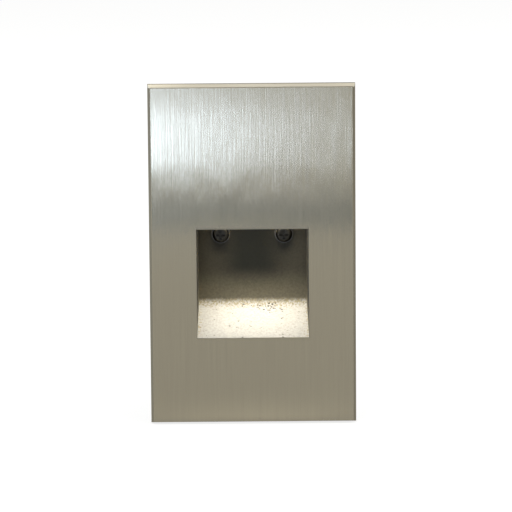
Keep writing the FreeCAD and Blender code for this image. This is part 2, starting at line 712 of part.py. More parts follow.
# ---------------------------------------------------------------- mounting strap
def make_mounting_strap():
    """Pressed steel strap: two ears for the device box, a wide middle and an opening for the housing."""
    body = new_body("mounting_strap_body")
    wide = S.strap_width / HALF
    ear = S.ear_width / HALF
    middle = S.strap_middle / HALF
    tip = S.strap_height / HALF
    sketch = front_sketch(body, 0)
    polygon(sketch, [
        (-wide, -middle), (-ear, -middle), (-ear, -tip), (ear, -tip), (ear, -middle), (wide, -middle),
        (wide, middle), (ear, middle), (ear, tip), (-ear, tip), (-ear, middle), (-wide, middle),
    ])
    pad(body, sketch, S.strap_thick)
    for radius, height in ((S.ear_round, tip.number), (S.ear_round / HALF, middle.number)):
        fillet(body, radius, lambda box: upright_corner(box) and close(abs(box.Center.z), height))
    opening = front_sketch(body, 0)
    gap = S.strap_clearance * BOTH
    rectangle(opening, S.housing_width + gap, S.housing_height + gap)
    pocket(body, opening, S.strap_thick, reverse=True)
    play = S.thread_gap * BOTH
    box_screws = [(0, side * S.box_spacing / HALF) for side in SIGNS]
    drill(body, S.box_hole, 0, S.strap_thick, box_screws, from_front=False)
    corners = spots_at(S.strap_screw_x, S.strap_screw_z)
    drill(body, S.strap_screw_thread + play, 0, S.strap_thick, corners, from_front=False)
    earth = [(S.earth_x, -S.box_spacing / HALF)]
    drill(body, S.earth_thread + play, 0, S.strap_thick, earth, from_front=False)
    node(body, "mounting_strap")


def make_strap_screws():
    """Four countersunk screws that hold the housing's flange to the strap, and the earth screw."""
    length = S.strap_thick + S.flange_thick
    master = flat_screw("strap_screw", S.strap_screw_thread, length, S.strap_screw_head, S.large_recess)
    spots = [(x, FLANGE_FRONT_Y, z) for x, z in spots_at(S.strap_screw_x, S.strap_screw_z)]
    copies("strap_screws", master, spots, TO_FRONT)
    earth = pan_screw("earth", S.earth_thread, S.earth_length, S.earth_head, S.earth_head_height,
                      S.large_recess)
    put(earth, S.earth_x, STRAP_FRONT_Y, -S.box_spacing / HALF, TO_FRONT)
    node(earth, "earth_screw")


# ---------------------------------------------------------------- rear housing
def add_housing_shell(body):
    """Flange, drafted box, the lamp room open to the front and the driver room open to the back."""
    flange = rectangle(front_sketch(body, STRAP_FRONT_Y), S.flange_width, S.flange_height)
    pad(body, flange, S.flange_thick)
    box = rectangle(front_sketch(body, STRAP_FRONT_Y), S.housing_width, S.housing_height)
    pad(body, box, S.housing_back - STRAP_FRONT_Y, reverse=True, taper=-S.housing_draft)
    fillet(body, S.housing_round, upright_corner)
    inner_width = S.housing_width - S.housing_wall * BOTH
    inner_height = S.housing_height - S.housing_wall * BOTH
    lamp_room = rectangle(front_sketch(body, FLANGE_FRONT_Y), inner_width, inner_height)
    pocket(body, lamp_room, S.partition_front - FLANGE_FRONT_Y)
    driver_room = rectangle(front_sketch(body, S.housing_back), inner_width, inner_height)
    pocket(body, driver_room, S.housing_back - PARTITION_BACK_Y, reverse=True)


def add_round_pads(body, diameter, start, end, spots):
    """Round bosses of one kind between two depths."""
    sketch = front_sketch(body, start)
    for x, z in spots:
        circle(sketch, diameter, x, z)
    pad(body, sketch, end - start, reverse=True)


def drill(body, diameter, mouth, depth, spots, from_front=True):
    """Round holes of one kind, from a mouth inwards."""
    sketch = front_sketch(body, mouth)
    for x, z in spots:
        circle(sketch, diameter, x, z)
    pocket(body, sketch, depth, reverse=not from_front)


def spots_at(x, z):
    """The four places that mirror x, z."""
    return [(across * x, along * z) for across, along in CORNERS]


def make_rear_housing():
    """The casting behind the wall: it carries the lamp, the driver and the faceplate's screws."""
    body = new_body("rear_housing_body")
    add_housing_shell(body)
    play = S.thread_gap * BOTH
    plate_screws = [(side * S.screw_spacing / HALF, SCREW_Z) for side in SIGNS]
    sink_screws = [(side * S.lamp_screw_x, S.sink_screw_z) for side in SIGNS]
    boss_face = POCKET_OUTER_Y + S.boss_gap
    add_round_pads(body, S.boss_radius * BOTH, boss_face, S.boss_back, plate_screws)
    pillars = spots_at(S.pillar_x, S.pillar_z)
    add_round_pads(body, S.pillar_radius * BOTH, S.partition_front, S.housing_back, pillars)
    posts = spots_at(S.post_x, S.post_z)
    add_round_pads(body, S.post_radius * BOTH, S.partition_front, S.post_end, posts)
    add_round_pads(body, S.post_radius * BOTH, S.partition_front, S.sink_boss_back, sink_screws)
    drill(body, S.screw_thread + play, boss_face, S.boss_back - boss_face - S.boss_floor, plate_screws)
    sink_screw_hole = S.small_length - S.sink_back + S.end_gap
    drill(body, S.small_thread + play, S.partition_front, sink_screw_hole, sink_screws)
    drill(body, S.seal_hole, S.partition_front, S.partition_thick, [(S.lead_x, S.lead_z)])
    drill(body, S.small_thread + play, S.housing_back, S.small_length, pillars, from_front=False)
    drill(body, S.tiny_thread + play, S.post_end, S.board_screw_length, posts, from_front=False)
    for x, z in spots_at(S.strap_screw_x, S.strap_screw_z):
        wide = circle(front_sketch(body, FLANGE_FRONT_Y), S.strap_screw_head + play, x, z)
        narrow = circle(front_sketch(body, STRAP_FRONT_Y), S.strap_screw_thread + play, x, z)
        loft(body, "Subtractive", wide, narrow)
    node(body, "rear_housing")


# ---------------------------------------------------------------- lamp
def make_heat_sink():
    """Aluminium block: a base over the LED board, an upright back on the partition, and fins between."""
    body = new_body("heat_sink_body")
    depth = S.partition_front - S.lamp_front
    base = rectangle(plan_sketch(body, SINK_Z), S.sink_width, depth, 0, S.lamp_front + depth / HALF)
    pad(body, base, S.sink_base)
    height = S.sink_top - SINK_Z
    back_y = S.partition_front - S.sink_back / HALF
    back = rectangle(plan_sketch(body, SINK_Z), S.sink_width, S.sink_back, 0, back_y)
    pad(body, back, height)
    fins = plan_sketch(body, SINK_Z)
    last = (S.fin_count - 1) / HALF
    for number in range(int(S.fin_count.number)):
        rectangle(fins, S.fin_thick, depth, (number - last) * S.fin_pitch, S.lamp_front + depth / HALF)
    pad(body, fins, height)
    holes = front_sketch(body, S.partition_front - S.sink_back)
    for side in SIGNS:
        circle(holes, S.small_thread + S.thread_gap * BOTH, side * S.lamp_screw_x, S.sink_screw_z)
    pocket(body, holes, S.sink_back)
    lamp_holes(body, SINK_Z, S.lamp_screw_length - (SINK_Z - S.lamp_floor))
    node(body, "heat_sink")
    master = small_screw("sink_screw", S.small_length)
    spots = [(side * S.lamp_screw_x, S.partition_front - S.sink_back, S.sink_screw_z) for side in SIGNS]
    copies("heat_sink_screws", master, spots, TO_FRONT)


def small_screw(name, length):
    """An M2.5 pan-headed screw, as the heat sink and the rear cover have."""
    return pan_screw(name, S.small_thread, length, S.small_head, S.small_head_height, S.small_recess)


def lamp_screw_spots():
    """The four lamp screws, seen from above."""
    return [(across * S.lamp_screw_x, LAMP_Y + along * S.lamp_screw_y) for across, along in CORNERS]


def lamp_holes(body, z, depth):
    """Holes for the lamp screws, up from a level."""
    sketch = plan_sketch(body, z)
    for x, y in lamp_screw_spots():
        circle(sketch, S.tiny_thread + S.thread_gap * BOTH, x, y)
    pocket(body, sketch, depth, reverse=True)


def make_led_board():
    """The board with its LED packages underneath, and the pad that joins it to the heat sink."""
    body = new_body("led_board_body")
    middle = S.lamp_front + S.led_board_length / HALF
    outline = rectangle(plan_sketch(body, LAMP_BOARD_Z), S.lamp_width, S.led_board_length, 0, middle)
    pad(body, outline, S.led_board_thick)
    lamp_holes(body, LAMP_BOARD_Z, S.led_board_thick)
    node(body, "led_board")
    cushion = new_body("thermal_pad_body")
    level = LAMP_BOARD_Z + S.led_board_thick
    rectangle(plan_sketch(cushion, level), S.lens_width, S.lens_length, 0, LAMP_Y)
    pad(cushion, cushion.Group[-1], S.pad_thick)
    node(cushion, "thermal_pad")
    packages = []
    last = (S.chip_count - 1) / HALF
    for number in range(int(S.chip_count.number)):
        x = (number - last) * S.chip_pitch - S.chip_size / HALF
        y = LAMP_Y - S.chip_size / HALF
        packages.append(block(f"chip_{number}", x, y, CHIP_Z, S.chip_size, S.chip_size, S.chip_height))
    group = DOC.addObject("Part::Compound", "led_chips_group")
    group.Links = packages
    node(group, "led_chips")


def make_reflector():
    """The white moulding round the LED packages: a flared throat above, the lens's seat below."""
    body = new_body("reflector_body")
    outline = rectangle(plan_sketch(body, LENS_Z), S.lamp_width, S.lamp_length, 0, LAMP_Y)
    pad(body, outline, S.reflector_height)
    seat = S.lens_thick + S.lens_gasket_thick
    play = S.thread_gap * BOTH
    lens_place = plan_sketch(body, LENS_Z)
    rectangle(lens_place, S.lens_width + play, S.lens_length + play, 0, LAMP_Y)
    pocket(body, lens_place, seat, reverse=True)
    flare = plan_sketch(body, LENS_Z + seat)
    rectangle(flare, S.lens_window_width, S.lens_window_length, 0, LAMP_Y)
    throat = plan_sketch(body, LAMP_BOARD_Z)
    rectangle(throat, S.lens_window_width, S.reflector_throat, 0, LAMP_Y)
    loft(body, "Subtractive", flare, throat)
    lamp_holes(body, LENS_Z, S.reflector_height)
    node(body, "reflector")


def make_lens():
    """The frosted lens with its raised middle, its gasket, and the plate that holds both."""
    lens = new_body("lens_body")
    pad(lens, rectangle(plan_sketch(lens, LENS_Z), S.lens_width, S.lens_length, 0, LAMP_Y), S.lens_thick)
    play = S.thread_gap * BOTH
    middle = plan_sketch(lens, LENS_Z)
    rectangle(middle, S.lens_window_width - play, S.lens_window_length - play, 0, LAMP_Y)
    pad(lens, middle, S.lens_step, reverse=True)
    node(lens, "lens")
    gasket = new_body("lens_gasket_body")
    ring = plan_sketch(gasket, LENS_Z + S.lens_thick)
    rectangle(ring, S.lens_width, S.lens_length, 0, LAMP_Y)
    rectangle(ring, S.lens_window_width, S.lens_window_length, 0, LAMP_Y)
    pad(gasket, ring, S.lens_gasket_thick)
    node(gasket, "lens_gasket")
    retainer = new_body("lens_retainer_body")
    plate = plan_sketch(retainer, S.lamp_floor)
    rectangle(plate, S.lamp_width, S.lamp_length, 0, LAMP_Y)
    rectangle(plate, S.lens_window_width, S.lens_window_length, 0, LAMP_Y)
    pad(retainer, plate, S.retainer_thick)
    for x, y in lamp_screw_spots():
        wide = circle(plan_sketch(retainer, S.lamp_floor), S.tiny_head + play, x, y)
        narrow = circle(plan_sketch(retainer, LENS_Z), S.tiny_thread + play, x, y)
        loft(retainer, "Subtractive", wide, narrow)
    node(retainer, "lens_retainer")
    master = flat_screw("lamp_screw", S.tiny_thread, S.lamp_screw_length, S.tiny_head, S.tiny_recess)
    copies("lens_screws", master, [(x, y, S.lamp_floor) for x, y in lamp_screw_spots()], DOWN)


def lead_wire(side):
    """A lead's path: straight through the partition, then an S of two equal arcs up to its connector.

    Each arc goes up by half the rise over a run of the whole rise, so half its turn has the tangent 1/2.
    """
    x = (S.lead_x + side * S.lead_pitch / HALF).number
    low = S.lead_z.number
    rise = S.lead_lift.number
    start = (PLUG_BACK_Y - S.lead_grip).number
    bend = BEND_Y.number
    end = SOCKET_Y.number
    stop = end + S.lead_grip.number
    half_turn = math.atan2(rise / HALF, rise)
    radius = rise / math.sin(half_turn * BOTH)
    run = radius * math.sin(half_turn)
    climb = radius - radius * math.cos(half_turn)
    middle = FreeCAD.Vector(x, bend + rise, low + rise / HALF)
    lower = FreeCAD.Vector(x, bend + run, low + climb)
    upper = FreeCAD.Vector(x, end - run, low + rise - climb)
    first_bend = FreeCAD.Vector(x, bend, low)
    last_bend = FreeCAD.Vector(x, end, low + rise)
    curves = [
        Part.LineSegment(FreeCAD.Vector(x, start, low), first_bend),
        Part.Arc(first_bend, lower, middle),
        Part.Arc(middle, upper, last_bend),
        Part.LineSegment(last_bend, FreeCAD.Vector(x, stop, low + rise)),
    ]
    return Part.Wire([curve.toShape() for curve in curves])


def make_led_leads():
    """Two insulated leads from the LED board's tail to the driver board, and their seal."""
    radius = S.lead_diameter.number / HALF
    for name, side in (("positive", -1), ("negative", 1)):
        path = lead_wire(side)
        start = path.Vertexes[0].Point
        ring = Part.Wire(Part.makeCircle(radius, start, FreeCAD.Vector(0, 1, 0)))
        lead = DOC.addObject("Part::Feature", f"lead_{name}")
        lead.Shape = path.makePipeShell([ring], True, False)
        lead.Placement = FreeCAD.Placement()
        node(lead, f"led_lead_{name}")
    front = S.partition_front - S.seal_lip
    length = S.partition_thick + S.seal_lip * BOTH
    play = S.thread_gap * BOTH
    pieces = [
        rod("seal_core", S.seal_hole - play, length, S.lead_x, front, S.lead_z, TO_BACK),
        rod("seal_front_lip", S.seal_front, S.seal_lip, S.lead_x, front, S.lead_z, TO_BACK),
        rod("seal_back_lip", S.seal_flange, S.seal_lip, S.lead_x, PARTITION_BACK_Y, S.lead_z, TO_BACK),
    ]
    holes = [rod(f"seal_hole_{side}", S.lead_diameter + play, length,
                 S.lead_x + side * S.lead_pitch / HALF, front, S.lead_z, TO_BACK) for side in SIGNS]
    node(without("seal", joined("seal_solid", pieces), holes), "lead_seal")


# ---------------------------------------------------------------- driver
def make_driver_board():
    """The driver board with its corner holes and the notch that the supply leads pass."""
    body = new_body("driver_board_body")
    width = S.driver_width / HALF
    height = S.driver_height / HALF
    notch = S.notch_width / HALF
    polygon(front_sketch(body, BOARD_BACK_Y), [
        (-width, -height), (-notch, -height),
        (-notch, S.notch_height - height), (notch, S.notch_height - height),
        (notch, -height), (width, -height), (width, height), (-width, height),
    ])
    pad(body, body.Group[-1], S.driver_thick)
    posts = spots_at(S.post_x, S.post_z)
    drill(body, S.tiny_thread + S.thread_gap * BOTH, BOARD_FRONT_Y, S.driver_thick, posts)
    node(body, "driver_board")
    length = S.board_screw_length + S.driver_thick - S.end_gap
    master = pan_screw("board_screw", S.tiny_thread, length, S.tiny_head, S.tiny_head_height,
                       S.tiny_recess)
    spots = [(x, BOARD_BACK_Y, z) for x, z in spots_at(S.post_x, S.post_z)]
    copies("driver_board_screws", master, spots, TO_BACK)


def on_board(name, x, z, width, height, rise):
    """A block that stands on the driver board's front, round the point x, z."""
    return block(name, x - width / HALF, BOARD_FRONT_Y - rise, z - height / HALF, width, rise, height)


def make_transformer():
    """A ferrite core of two windows, with the taped coil round its middle leg."""
    left = -S.core_width / HALF
    front = BOARD_FRONT_Y - S.core_stand - S.core_depth
    low = S.core_z - S.core_width / HALF
    inner = S.core_width - S.core_leg * BOTH
    window = (inner - S.core_middle) / HALF
    core = block("core_block", left, front, low, S.core_width, S.core_depth, S.core_width)
    starts = (left + S.core_leg, S.core_middle / HALF)
    windows = [block(f"core_window_{number}", start, front, low + S.core_leg, window, S.core_depth, inner)
               for number, start in enumerate(starts)]
    node(without("core", core, windows), "transformer_core")
    coil = on_board("coil_block", 0, S.core_z, inner, inner, S.coil_rise)
    leg = block("core_leg_block", -S.core_middle / HALF, front, low,
                S.core_middle, S.core_depth, S.core_width)
    node(without("coil", coil, [leg]), "transformer_coil")


def make_capacitors():
    """Two electrolytic capacitors that lie on the board, and a moulded film capacitor."""
    resting = BOARD_FRONT_Y - S.big_can / HALF
    big = can("input_can", S.big_can, S.big_can_length, S.big_can_x, resting, S.big_can_z, TO_RIGHT)
    node(big, "input_capacitor")
    resting = BOARD_FRONT_Y - S.small_can / HALF
    small = can("output_can", S.small_can, S.small_can_length, S.small_can_x, resting, S.small_can_z, UP)
    node(small, "output_capacitor")
    film = new_body("film_capacitor_body")
    outline = front_sketch(film, BOARD_FRONT_Y)
    rectangle(outline, S.film_width, S.film_height, S.film_x, S.film_z)
    pad(film, outline, S.film_rise)
    fillet(film, S.film_round, upright_corner)
    node(film, "film_capacitor")


def can(name, diameter, length, x, y, z, turn):
    """A capacitor's can with the rolled groove near its foot."""
    whole = rod(f"{name}_whole", diameter, length, x, y, z, turn)
    along = turn.multVec(FreeCAD.Vector(0, 0, 1))
    place = (x + S.can_foot * along.x, y + S.can_foot * along.y, z + S.can_foot * along.z)
    ring = rod(f"{name}_ring", diameter, S.can_groove, *place, turn)
    core = rod(f"{name}_core", diameter - S.can_cut * BOTH, S.can_groove, *place, turn)
    return without(name, whole, [without(f"{name}_groove", ring, [core])])


def make_small_parts():
    """Choke, fuse and varistor."""
    choke = [
        ("waist", S.choke_waist, S.choke_rise, S.choke_rise),
        ("front", S.choke_rim, S.choke_lip, S.choke_rise),
        ("foot", S.choke_rim, S.choke_lip, S.choke_lip),
    ]
    pieces = [rod(f"choke_{name}", across, length, S.choke_x, BOARD_FRONT_Y - rise, S.choke_z, TO_BACK)
              for name, across, length, rise in choke]
    node(joined("choke", pieces), "filter_choke")
    tube_length = S.fuse_length - S.fuse_cap_length
    fuse = [
        ("tube", S.fuse_tube, tube_length, S.fuse_z + S.fuse_cap_length / HALF),
        ("low_cap", S.fuse_cap, S.fuse_cap_length, S.fuse_z),
        ("high_cap", S.fuse_cap, S.fuse_cap_length, S.fuse_z + tube_length),
    ]
    pieces = [rod(f"fuse_{name}", across, length, S.fuse_x, BOARD_FRONT_Y - S.fuse_cap / HALF, low)
              for name, across, length, low in fuse]
    node(joined("fuse_solid", pieces), "fuse")
    resting = BOARD_FRONT_Y - S.varistor_disc / HALF
    narrow = S.varistor_disc - S.varistor_bevel * BOTH
    straight = S.varistor_thick - S.varistor_bevel * BOTH
    inner = S.varistor_x + S.varistor_bevel
    place = (resting, S.varistor_z, TO_RIGHT)
    pieces = [
        cone("varistor_left", narrow, S.varistor_disc, S.varistor_bevel, S.varistor_x, *place),
        rod("varistor_middle", S.varistor_disc, straight, inner, *place),
        cone("varistor_right", S.varistor_disc, narrow, S.varistor_bevel, inner + straight, *place),
    ]
    node(joined("varistor_solid", pieces), "varistor")


def make_chips():
    """The bridge rectifier and the control chip, each with its leads on both sides."""
    node(chip("bridge", S.bridge_lead_count, S.bridge_pitch), "bridge_rectifier")
    node(chip("control", S.control_lead_count, S.control_pitch), "control_chip")


def chip(name, lead_count, pitch):
    """A package that stands on its leads: each comes out of its side, and its foot lies on the board."""
    sizes = ("x", "z", "width", "height", "rise")
    x, z, width, height, rise = (getattr(S, f"{name}_{size}") for size in sizes)
    package = block(f"{name}_package", x - width / HALF, BOARD_FRONT_Y - rise, z - height / HALF,
                    width, rise - S.foot_thick, height)
    pieces = [package]
    last = (lead_count - 1) / HALF
    for side, word in ((-1, "left"), (1, "right")):
        for number in range(int(lead_count.number)):
            low = z + (number - last) * pitch - S.foot_width / HALF
            pieces += chip_lead(f"{name}_{word}_{number}", x + side * width / HALF, side, low, rise / HALF)
    return joined(f"{name}_solid", pieces)


def chip_lead(name, package_side, side, low, shoulder_rise):
    """One lead: out of the package at half its height, down to the board, and out along it."""
    leg = S.foot_bend - S.foot_thick
    stretches = [
        ("shoulder", -S.foot_root, S.foot_bend, shoulder_rise, S.foot_thick),
        ("leg", leg, S.foot_bend, shoulder_rise, shoulder_rise),
        ("toe", leg, S.foot_reach, S.foot_thick, S.foot_thick),
    ]
    return [block(f"{name}_{part}", package_side + (side * (start + end) - (end - start)) / HALF,
                  BOARD_FRONT_Y - up, low, end - start, depth, S.foot_width)
            for part, start, end, up, depth in stretches]


def make_connectors():
    """The supply leads' three-way terminal over the notch, and the LED leads' two connectors."""
    shell = on_board("terminal_block", 0, S.terminal_z,
                     S.terminal_width, S.terminal_height, S.terminal_rise)
    low = S.terminal_z - S.terminal_height / HALF
    holes = []
    for way in (-1, 0, 1):
        x = way * S.terminal_pitch
        holes.append(rod(f"terminal_mouth_{way}", S.terminal_mouth, S.terminal_mouth_depth,
                         x, BOARD_FRONT_Y - S.terminal_mouth_rise, low))
        holes.append(rod(f"terminal_screw_{way}", S.terminal_screw, S.terminal_screw_depth,
                         x, BOARD_FRONT_Y - S.terminal_rise, S.terminal_z, TO_BACK))
    node(without("terminal", shell, holes), "input_terminal")
    level = S.lead_z + S.lead_lift
    shell = on_board("connector_block", S.lead_x, level,
                     S.connector_width, S.connector_height, BOARD_FRONT_Y - SOCKET_Y)
    node(without("connector", shell, lead_mouths("connector", SOCKET_Y, level)), "output_connector")
    shell = block("plug_block", S.lead_x - S.connector_width / HALF, PLUG_BACK_Y - S.plug_depth,
                  LAMP_BOARD_Z - S.plug_height, S.connector_width, S.plug_depth, S.plug_height)
    mouths = lead_mouths("plug", PLUG_BACK_Y - S.lead_grip, S.lead_z)
    node(without("plug", shell, mouths), "led_connector")


def lead_mouths(name, y, z):
    """The two holes of a connector that the LED leads' ends sit in."""
    return [rod(f"{name}_mouth_{side}", S.lead_diameter + S.thread_gap * BOTH, S.lead_grip,
                S.lead_x + side * S.lead_pitch / HALF, y, z, TO_BACK) for side in SIGNS]


# ---------------------------------------------------------------- rear cover
def make_rear_cover():
    """The moulded cover of the driver room with its gasket, screws and lead grommet."""
    width = S.housing_width - S.cover_inset * BOTH
    height = S.housing_height - S.cover_inset * BOTH
    cover = new_body("rear_cover_body")
    pad(cover, rectangle(front_sketch(cover, COVER_Y), width, height), S.cover_thick, reverse=True)
    fillet(cover, S.housing_round, upright_corner)
    back = COVER_Y + S.cover_thick
    pad(cover, circle(front_sketch(cover, back), S.inlet_pad, 0, S.inlet_z), S.cover_pad, reverse=True)
    fillet(cover, S.edge_round, lambda box: flat_at(box, back)
           and box.DiagonalLength > S.inlet_pad.number * BOTH)
    drill(cover, S.inlet_hole, COVER_Y, S.cover_thick + S.cover_pad, [(0, S.inlet_z)])
    pillars = spots_at(S.pillar_x, S.pillar_z)
    drill(cover, S.small_thread + S.thread_gap * BOTH, COVER_Y, S.cover_thick, pillars)
    node(cover, "rear_cover")
    gasket = new_body("cover_gasket_body")
    ring = front_sketch(gasket, S.housing_back)
    rectangle(ring, width - S.cover_gasket_thick, height - S.cover_gasket_thick)
    rectangle(ring, S.housing_width - S.housing_wall * BOTH, S.housing_height - S.housing_wall * BOTH)
    pad(gasket, ring, S.cover_gasket_thick, reverse=True)
    inner = (S.housing_width / HALF - S.housing_wall).number
    fillet(gasket, S.housing_round, lambda box: upright_corner(box, S.cover_gasket_thick.number / HALF)
           and abs(box.Center.x) > inner + S.edge_round.number)
    node(gasket, "cover_gasket")
    length = S.small_length + S.cover_thick
    master = small_screw("cover_screw", length)
    copies("cover_screws", master, [(x, back, z) for x, z in spots_at(S.pillar_x, S.pillar_z)], TO_BACK)
    make_lead_grommet(back + S.cover_pad)


def make_lead_grommet(outer_y):
    """The rubber inlet for the supply leads: two flanges, a waist in the cover's hole, and a bore."""
    span = outer_y - COVER_Y
    inner = COVER_Y - S.grommet_lip
    length = span + S.grommet_lip * BOTH
    flange = S.grommet_flange
    pieces = [
        rod("grommet_waist", S.inlet_hole - S.thread_gap * BOTH, length, 0, inner, S.inlet_z, TO_BACK),
        rod("grommet_inner", flange, S.grommet_lip, 0, inner, S.inlet_z, TO_BACK),
        cone("grommet_outer", flange, S.grommet_face, S.grommet_lip, 0, outer_y, S.inlet_z, TO_BACK),
    ]
    bore = rod("grommet_bore_rod", S.grommet_bore, length, 0, inner, S.inlet_z, TO_BACK)
    node(without("grommet", joined("grommet_solid", pieces), [bore]), "lead_grommet")


# ---------------------------------------------------------------- build, check and write
def check_document():
    """Stops if any object failed to compute or any piece isn't a valid solid."""
    for thing in DOC.Objects:
        if "Invalid" in thing.State or "Error" in thing.State:
            raise ValueError(f"{thing.Name} is {thing.State}")
    for piece in NODES:
        if piece.Shape.isNull() or not piece.Shape.isValid() or not piece.Shape.Solids:
            raise ValueError(f"{piece.Label} isn't a valid solid")


def main():
    """Builds every piece and writes each to its own file."""
    make_faceplate()
    make_wall_gasket()
    make_faceplate_screws()
    make_mounting_strap()
    make_strap_screws()
    make_rear_housing()
    make_heat_sink()
    make_led_board()
    make_reflector()
    make_lens()
    make_led_leads()
    make_driver_board()
    make_transformer()
    make_capacitors()
    make_small_parts()
    make_chips()
    make_connectors()
    make_rear_cover()
    DOC.recompute()
    check_document()
    os.makedirs("parts", exist_ok=True)
    for piece in NODES:
        piece.Shape.exportStep(f"parts/{piece.Label}.step")
    print(len(NODES), "pieces")


main()
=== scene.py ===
"""Looks of a recessed step light: finishes, turned screws, the lamp's glow and a small studio.

Lengths are metres and the axes are the frame's own: +Z up, +Y into the wall, and the brushed face looks
along -Y. Values whose names end in _mm are millimetres, and colours are sRGB hex.
"""

from __future__ import annotations

import logging
import math
from dataclasses import dataclass, replace
from enum import Enum

import bmesh
import bpy
import numpy as np
from mathutils import Matrix, Vector

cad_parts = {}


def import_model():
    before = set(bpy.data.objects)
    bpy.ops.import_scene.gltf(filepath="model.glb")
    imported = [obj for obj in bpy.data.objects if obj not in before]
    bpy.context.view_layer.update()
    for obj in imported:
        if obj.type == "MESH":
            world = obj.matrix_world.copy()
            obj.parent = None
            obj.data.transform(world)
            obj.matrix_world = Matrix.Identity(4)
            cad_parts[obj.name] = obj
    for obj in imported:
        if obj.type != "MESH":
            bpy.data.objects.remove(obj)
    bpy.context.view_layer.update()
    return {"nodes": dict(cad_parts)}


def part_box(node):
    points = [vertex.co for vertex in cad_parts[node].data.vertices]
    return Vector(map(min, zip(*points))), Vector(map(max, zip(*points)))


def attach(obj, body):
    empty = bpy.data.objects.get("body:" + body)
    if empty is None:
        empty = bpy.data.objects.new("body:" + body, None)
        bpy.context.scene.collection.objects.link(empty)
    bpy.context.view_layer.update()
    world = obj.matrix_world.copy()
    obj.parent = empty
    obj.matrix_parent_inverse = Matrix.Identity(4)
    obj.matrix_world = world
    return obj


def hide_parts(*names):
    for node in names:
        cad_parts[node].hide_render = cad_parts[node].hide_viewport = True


log = logging.getLogger("step_light")

MM = 0.001
PICTURE_PIXELS = 512
WHITE = (1.0, 1.0, 1.0, 1.0)

# The sRGB curve: below its foot a straight line, above it a power.
SRGB_FOOT, SRGB_SLOPE, SRGB_OFFSET, SRGB_POWER = 0.04045, 12.92, 0.055, 2.4

# A Mix node's inputs and output go by number, because its number and colour sockets share their names.
MIX_SHARE = 0
MIX_NUMBERS = (2, 3)
MIX_COLOURS = (6, 7)
MIX_COLOUR_OUT = 2

OCTAVE_WEIGHT = 0.6
GLOSS_PER_GRAIN = 4
# A wave node of scale 1 repeats after a tenth of pi.
WAVE_PERIOD = math.pi / 10

Socket = bpy.types.NodeSocket
Tree = bpy.types.ShaderNodeTree
Thing = bpy.types.Object
Nodes = dict[str, Thing]
Span = tuple[float, float]
Place = tuple[float, float, float]
Size = float | Place


class Body(Enum):
    """The CAD bodies that a piece can ride on."""

    WALL_UNIT = "wall_unit"
    SCREW_LEFT = "screw_left"
    SCREW_RIGHT = "screw_right"


@dataclass(frozen=True)
class Ramp:
    """A straight run from start to end while a pattern goes from low to high.

    Attributes:
        low: Where the pattern starts to count.
        high: Where it stops.
        start: What comes out at low.
        end: What comes out at high.
    """

    low: float
    high: float
    start: float = 0.0
    end: float = 1.0

    def feeds(self, pattern: Socket) -> dict[str, object]:
        """Gives what a range node takes in to run so along a pattern."""
        names = ("From Min", "From Max", "To Min", "To Max")
        return {"Value": pattern, **dict(zip(names, (self.low, self.high, self.start, self.end)))}


# Noise seldom reaches 0 or 1, so patches, gloss and brush lines run between these values.
PATCHES = Ramp(0.35, 0.7)
GLOSS_SPAN = (0.3, 0.7)
BRUSH_LINES = Ramp(0.3, 0.72)


def linear(colour: str) -> tuple[float, float, float, float]:
    """Turns an sRGB hex colour into a linear RGBA one.

    Args:
        colour: Six hex digits after a #.

    Returns:
        Red, green, blue and an alpha of 1, as shaders take them.
    """
    parts = [int(colour[i : i + 2], 16) / 255 for i in (1, 3, 5)]
    red, green, blue = (
        part / SRGB_SLOPE if part <= SRGB_FOOT else ((part + SRGB_OFFSET) / (1 + SRGB_OFFSET)) ** SRGB_POWER
        for part in parts
    )
    return red, green, blue, 1.0


def add_node(
    tree: Tree, kind: str, feeds: dict | None = None, out: int | str = 0, **settings: object
) -> Socket:
    """Adds one shader node, sets it, links what feeds it and gives back one of its outputs.

    Args:
        tree: The node tree that gets the node.
        kind: The node's type without its ShaderNode prefix.
        feeds: For each input, by name or number, a socket to link or a value to set.
        out: The output to give back, by name or number.
        settings: The node's own properties.

    Returns:
        The chosen output, or the node's first input where it has no output.
    """
    node = tree.nodes.new("ShaderNode" + kind)
    for name, value in settings.items():
        setattr(node, name, value)
    for name, value in (feeds or {}).items():
        if isinstance(value, Socket):
            tree.links.new(value, node.inputs[name])
        else:
            node.inputs[name].default_value = value
    return node.outputs[out] if node.outputs else node.inputs[0]


def sized_noise(tree: Tree, size_mm: Size, detail: float = 2.0) -> Socket:
    """Makes noise whose patches have a real size along each axis.

    The piece's own place in metres is divided by the patch size, so one patch takes one unit of the noise.

    Args:
        tree: The material's nodes.
        size_mm: A patch's size, the same all ways or along X, Y and Z.
        detail: How many finer octaves lie on the patches.

    Returns:
        The noise, from 0 to 1.
    """
    place = add_node(tree, "TexCoord", out="Object")
    per_metre = (1 / (MM * np.broadcast_to(size_mm, 3))).tolist()
    scaled = add_node(tree, "VectorMath", {0: place, 1: per_metre}, operation="MULTIPLY")
    feeds = {"Vector": scaled, "Scale": 1.0, "Detail": detail, "Roughness": OCTAVE_WEIGHT}
    return add_node(tree, "TexNoise", feeds)


def layered(tree: Tree, base: Socket | str, *layers: tuple[Socket, Socket | str]) -> Socket:
    """Lays colours over a base in turn, each as far as its share reaches.

    Args:
        tree: The material's nodes.
        base: The lowest colour, as a socket or sRGB hex.
        layers: Each a share from 0 to 1 and the colour that it brings.

    Returns:
        The colour that results.
    """
    for share, colour in layers:
        below, above = (linear(one) if isinstance(one, str) else one for one in (base, colour))
        feeds = {MIX_SHARE: share, MIX_COLOURS[0]: below, MIX_COLOURS[1]: above}
        base = add_node(tree, "Mix", feeds, out=MIX_COLOUR_OUT, data_type="RGBA")
    return base


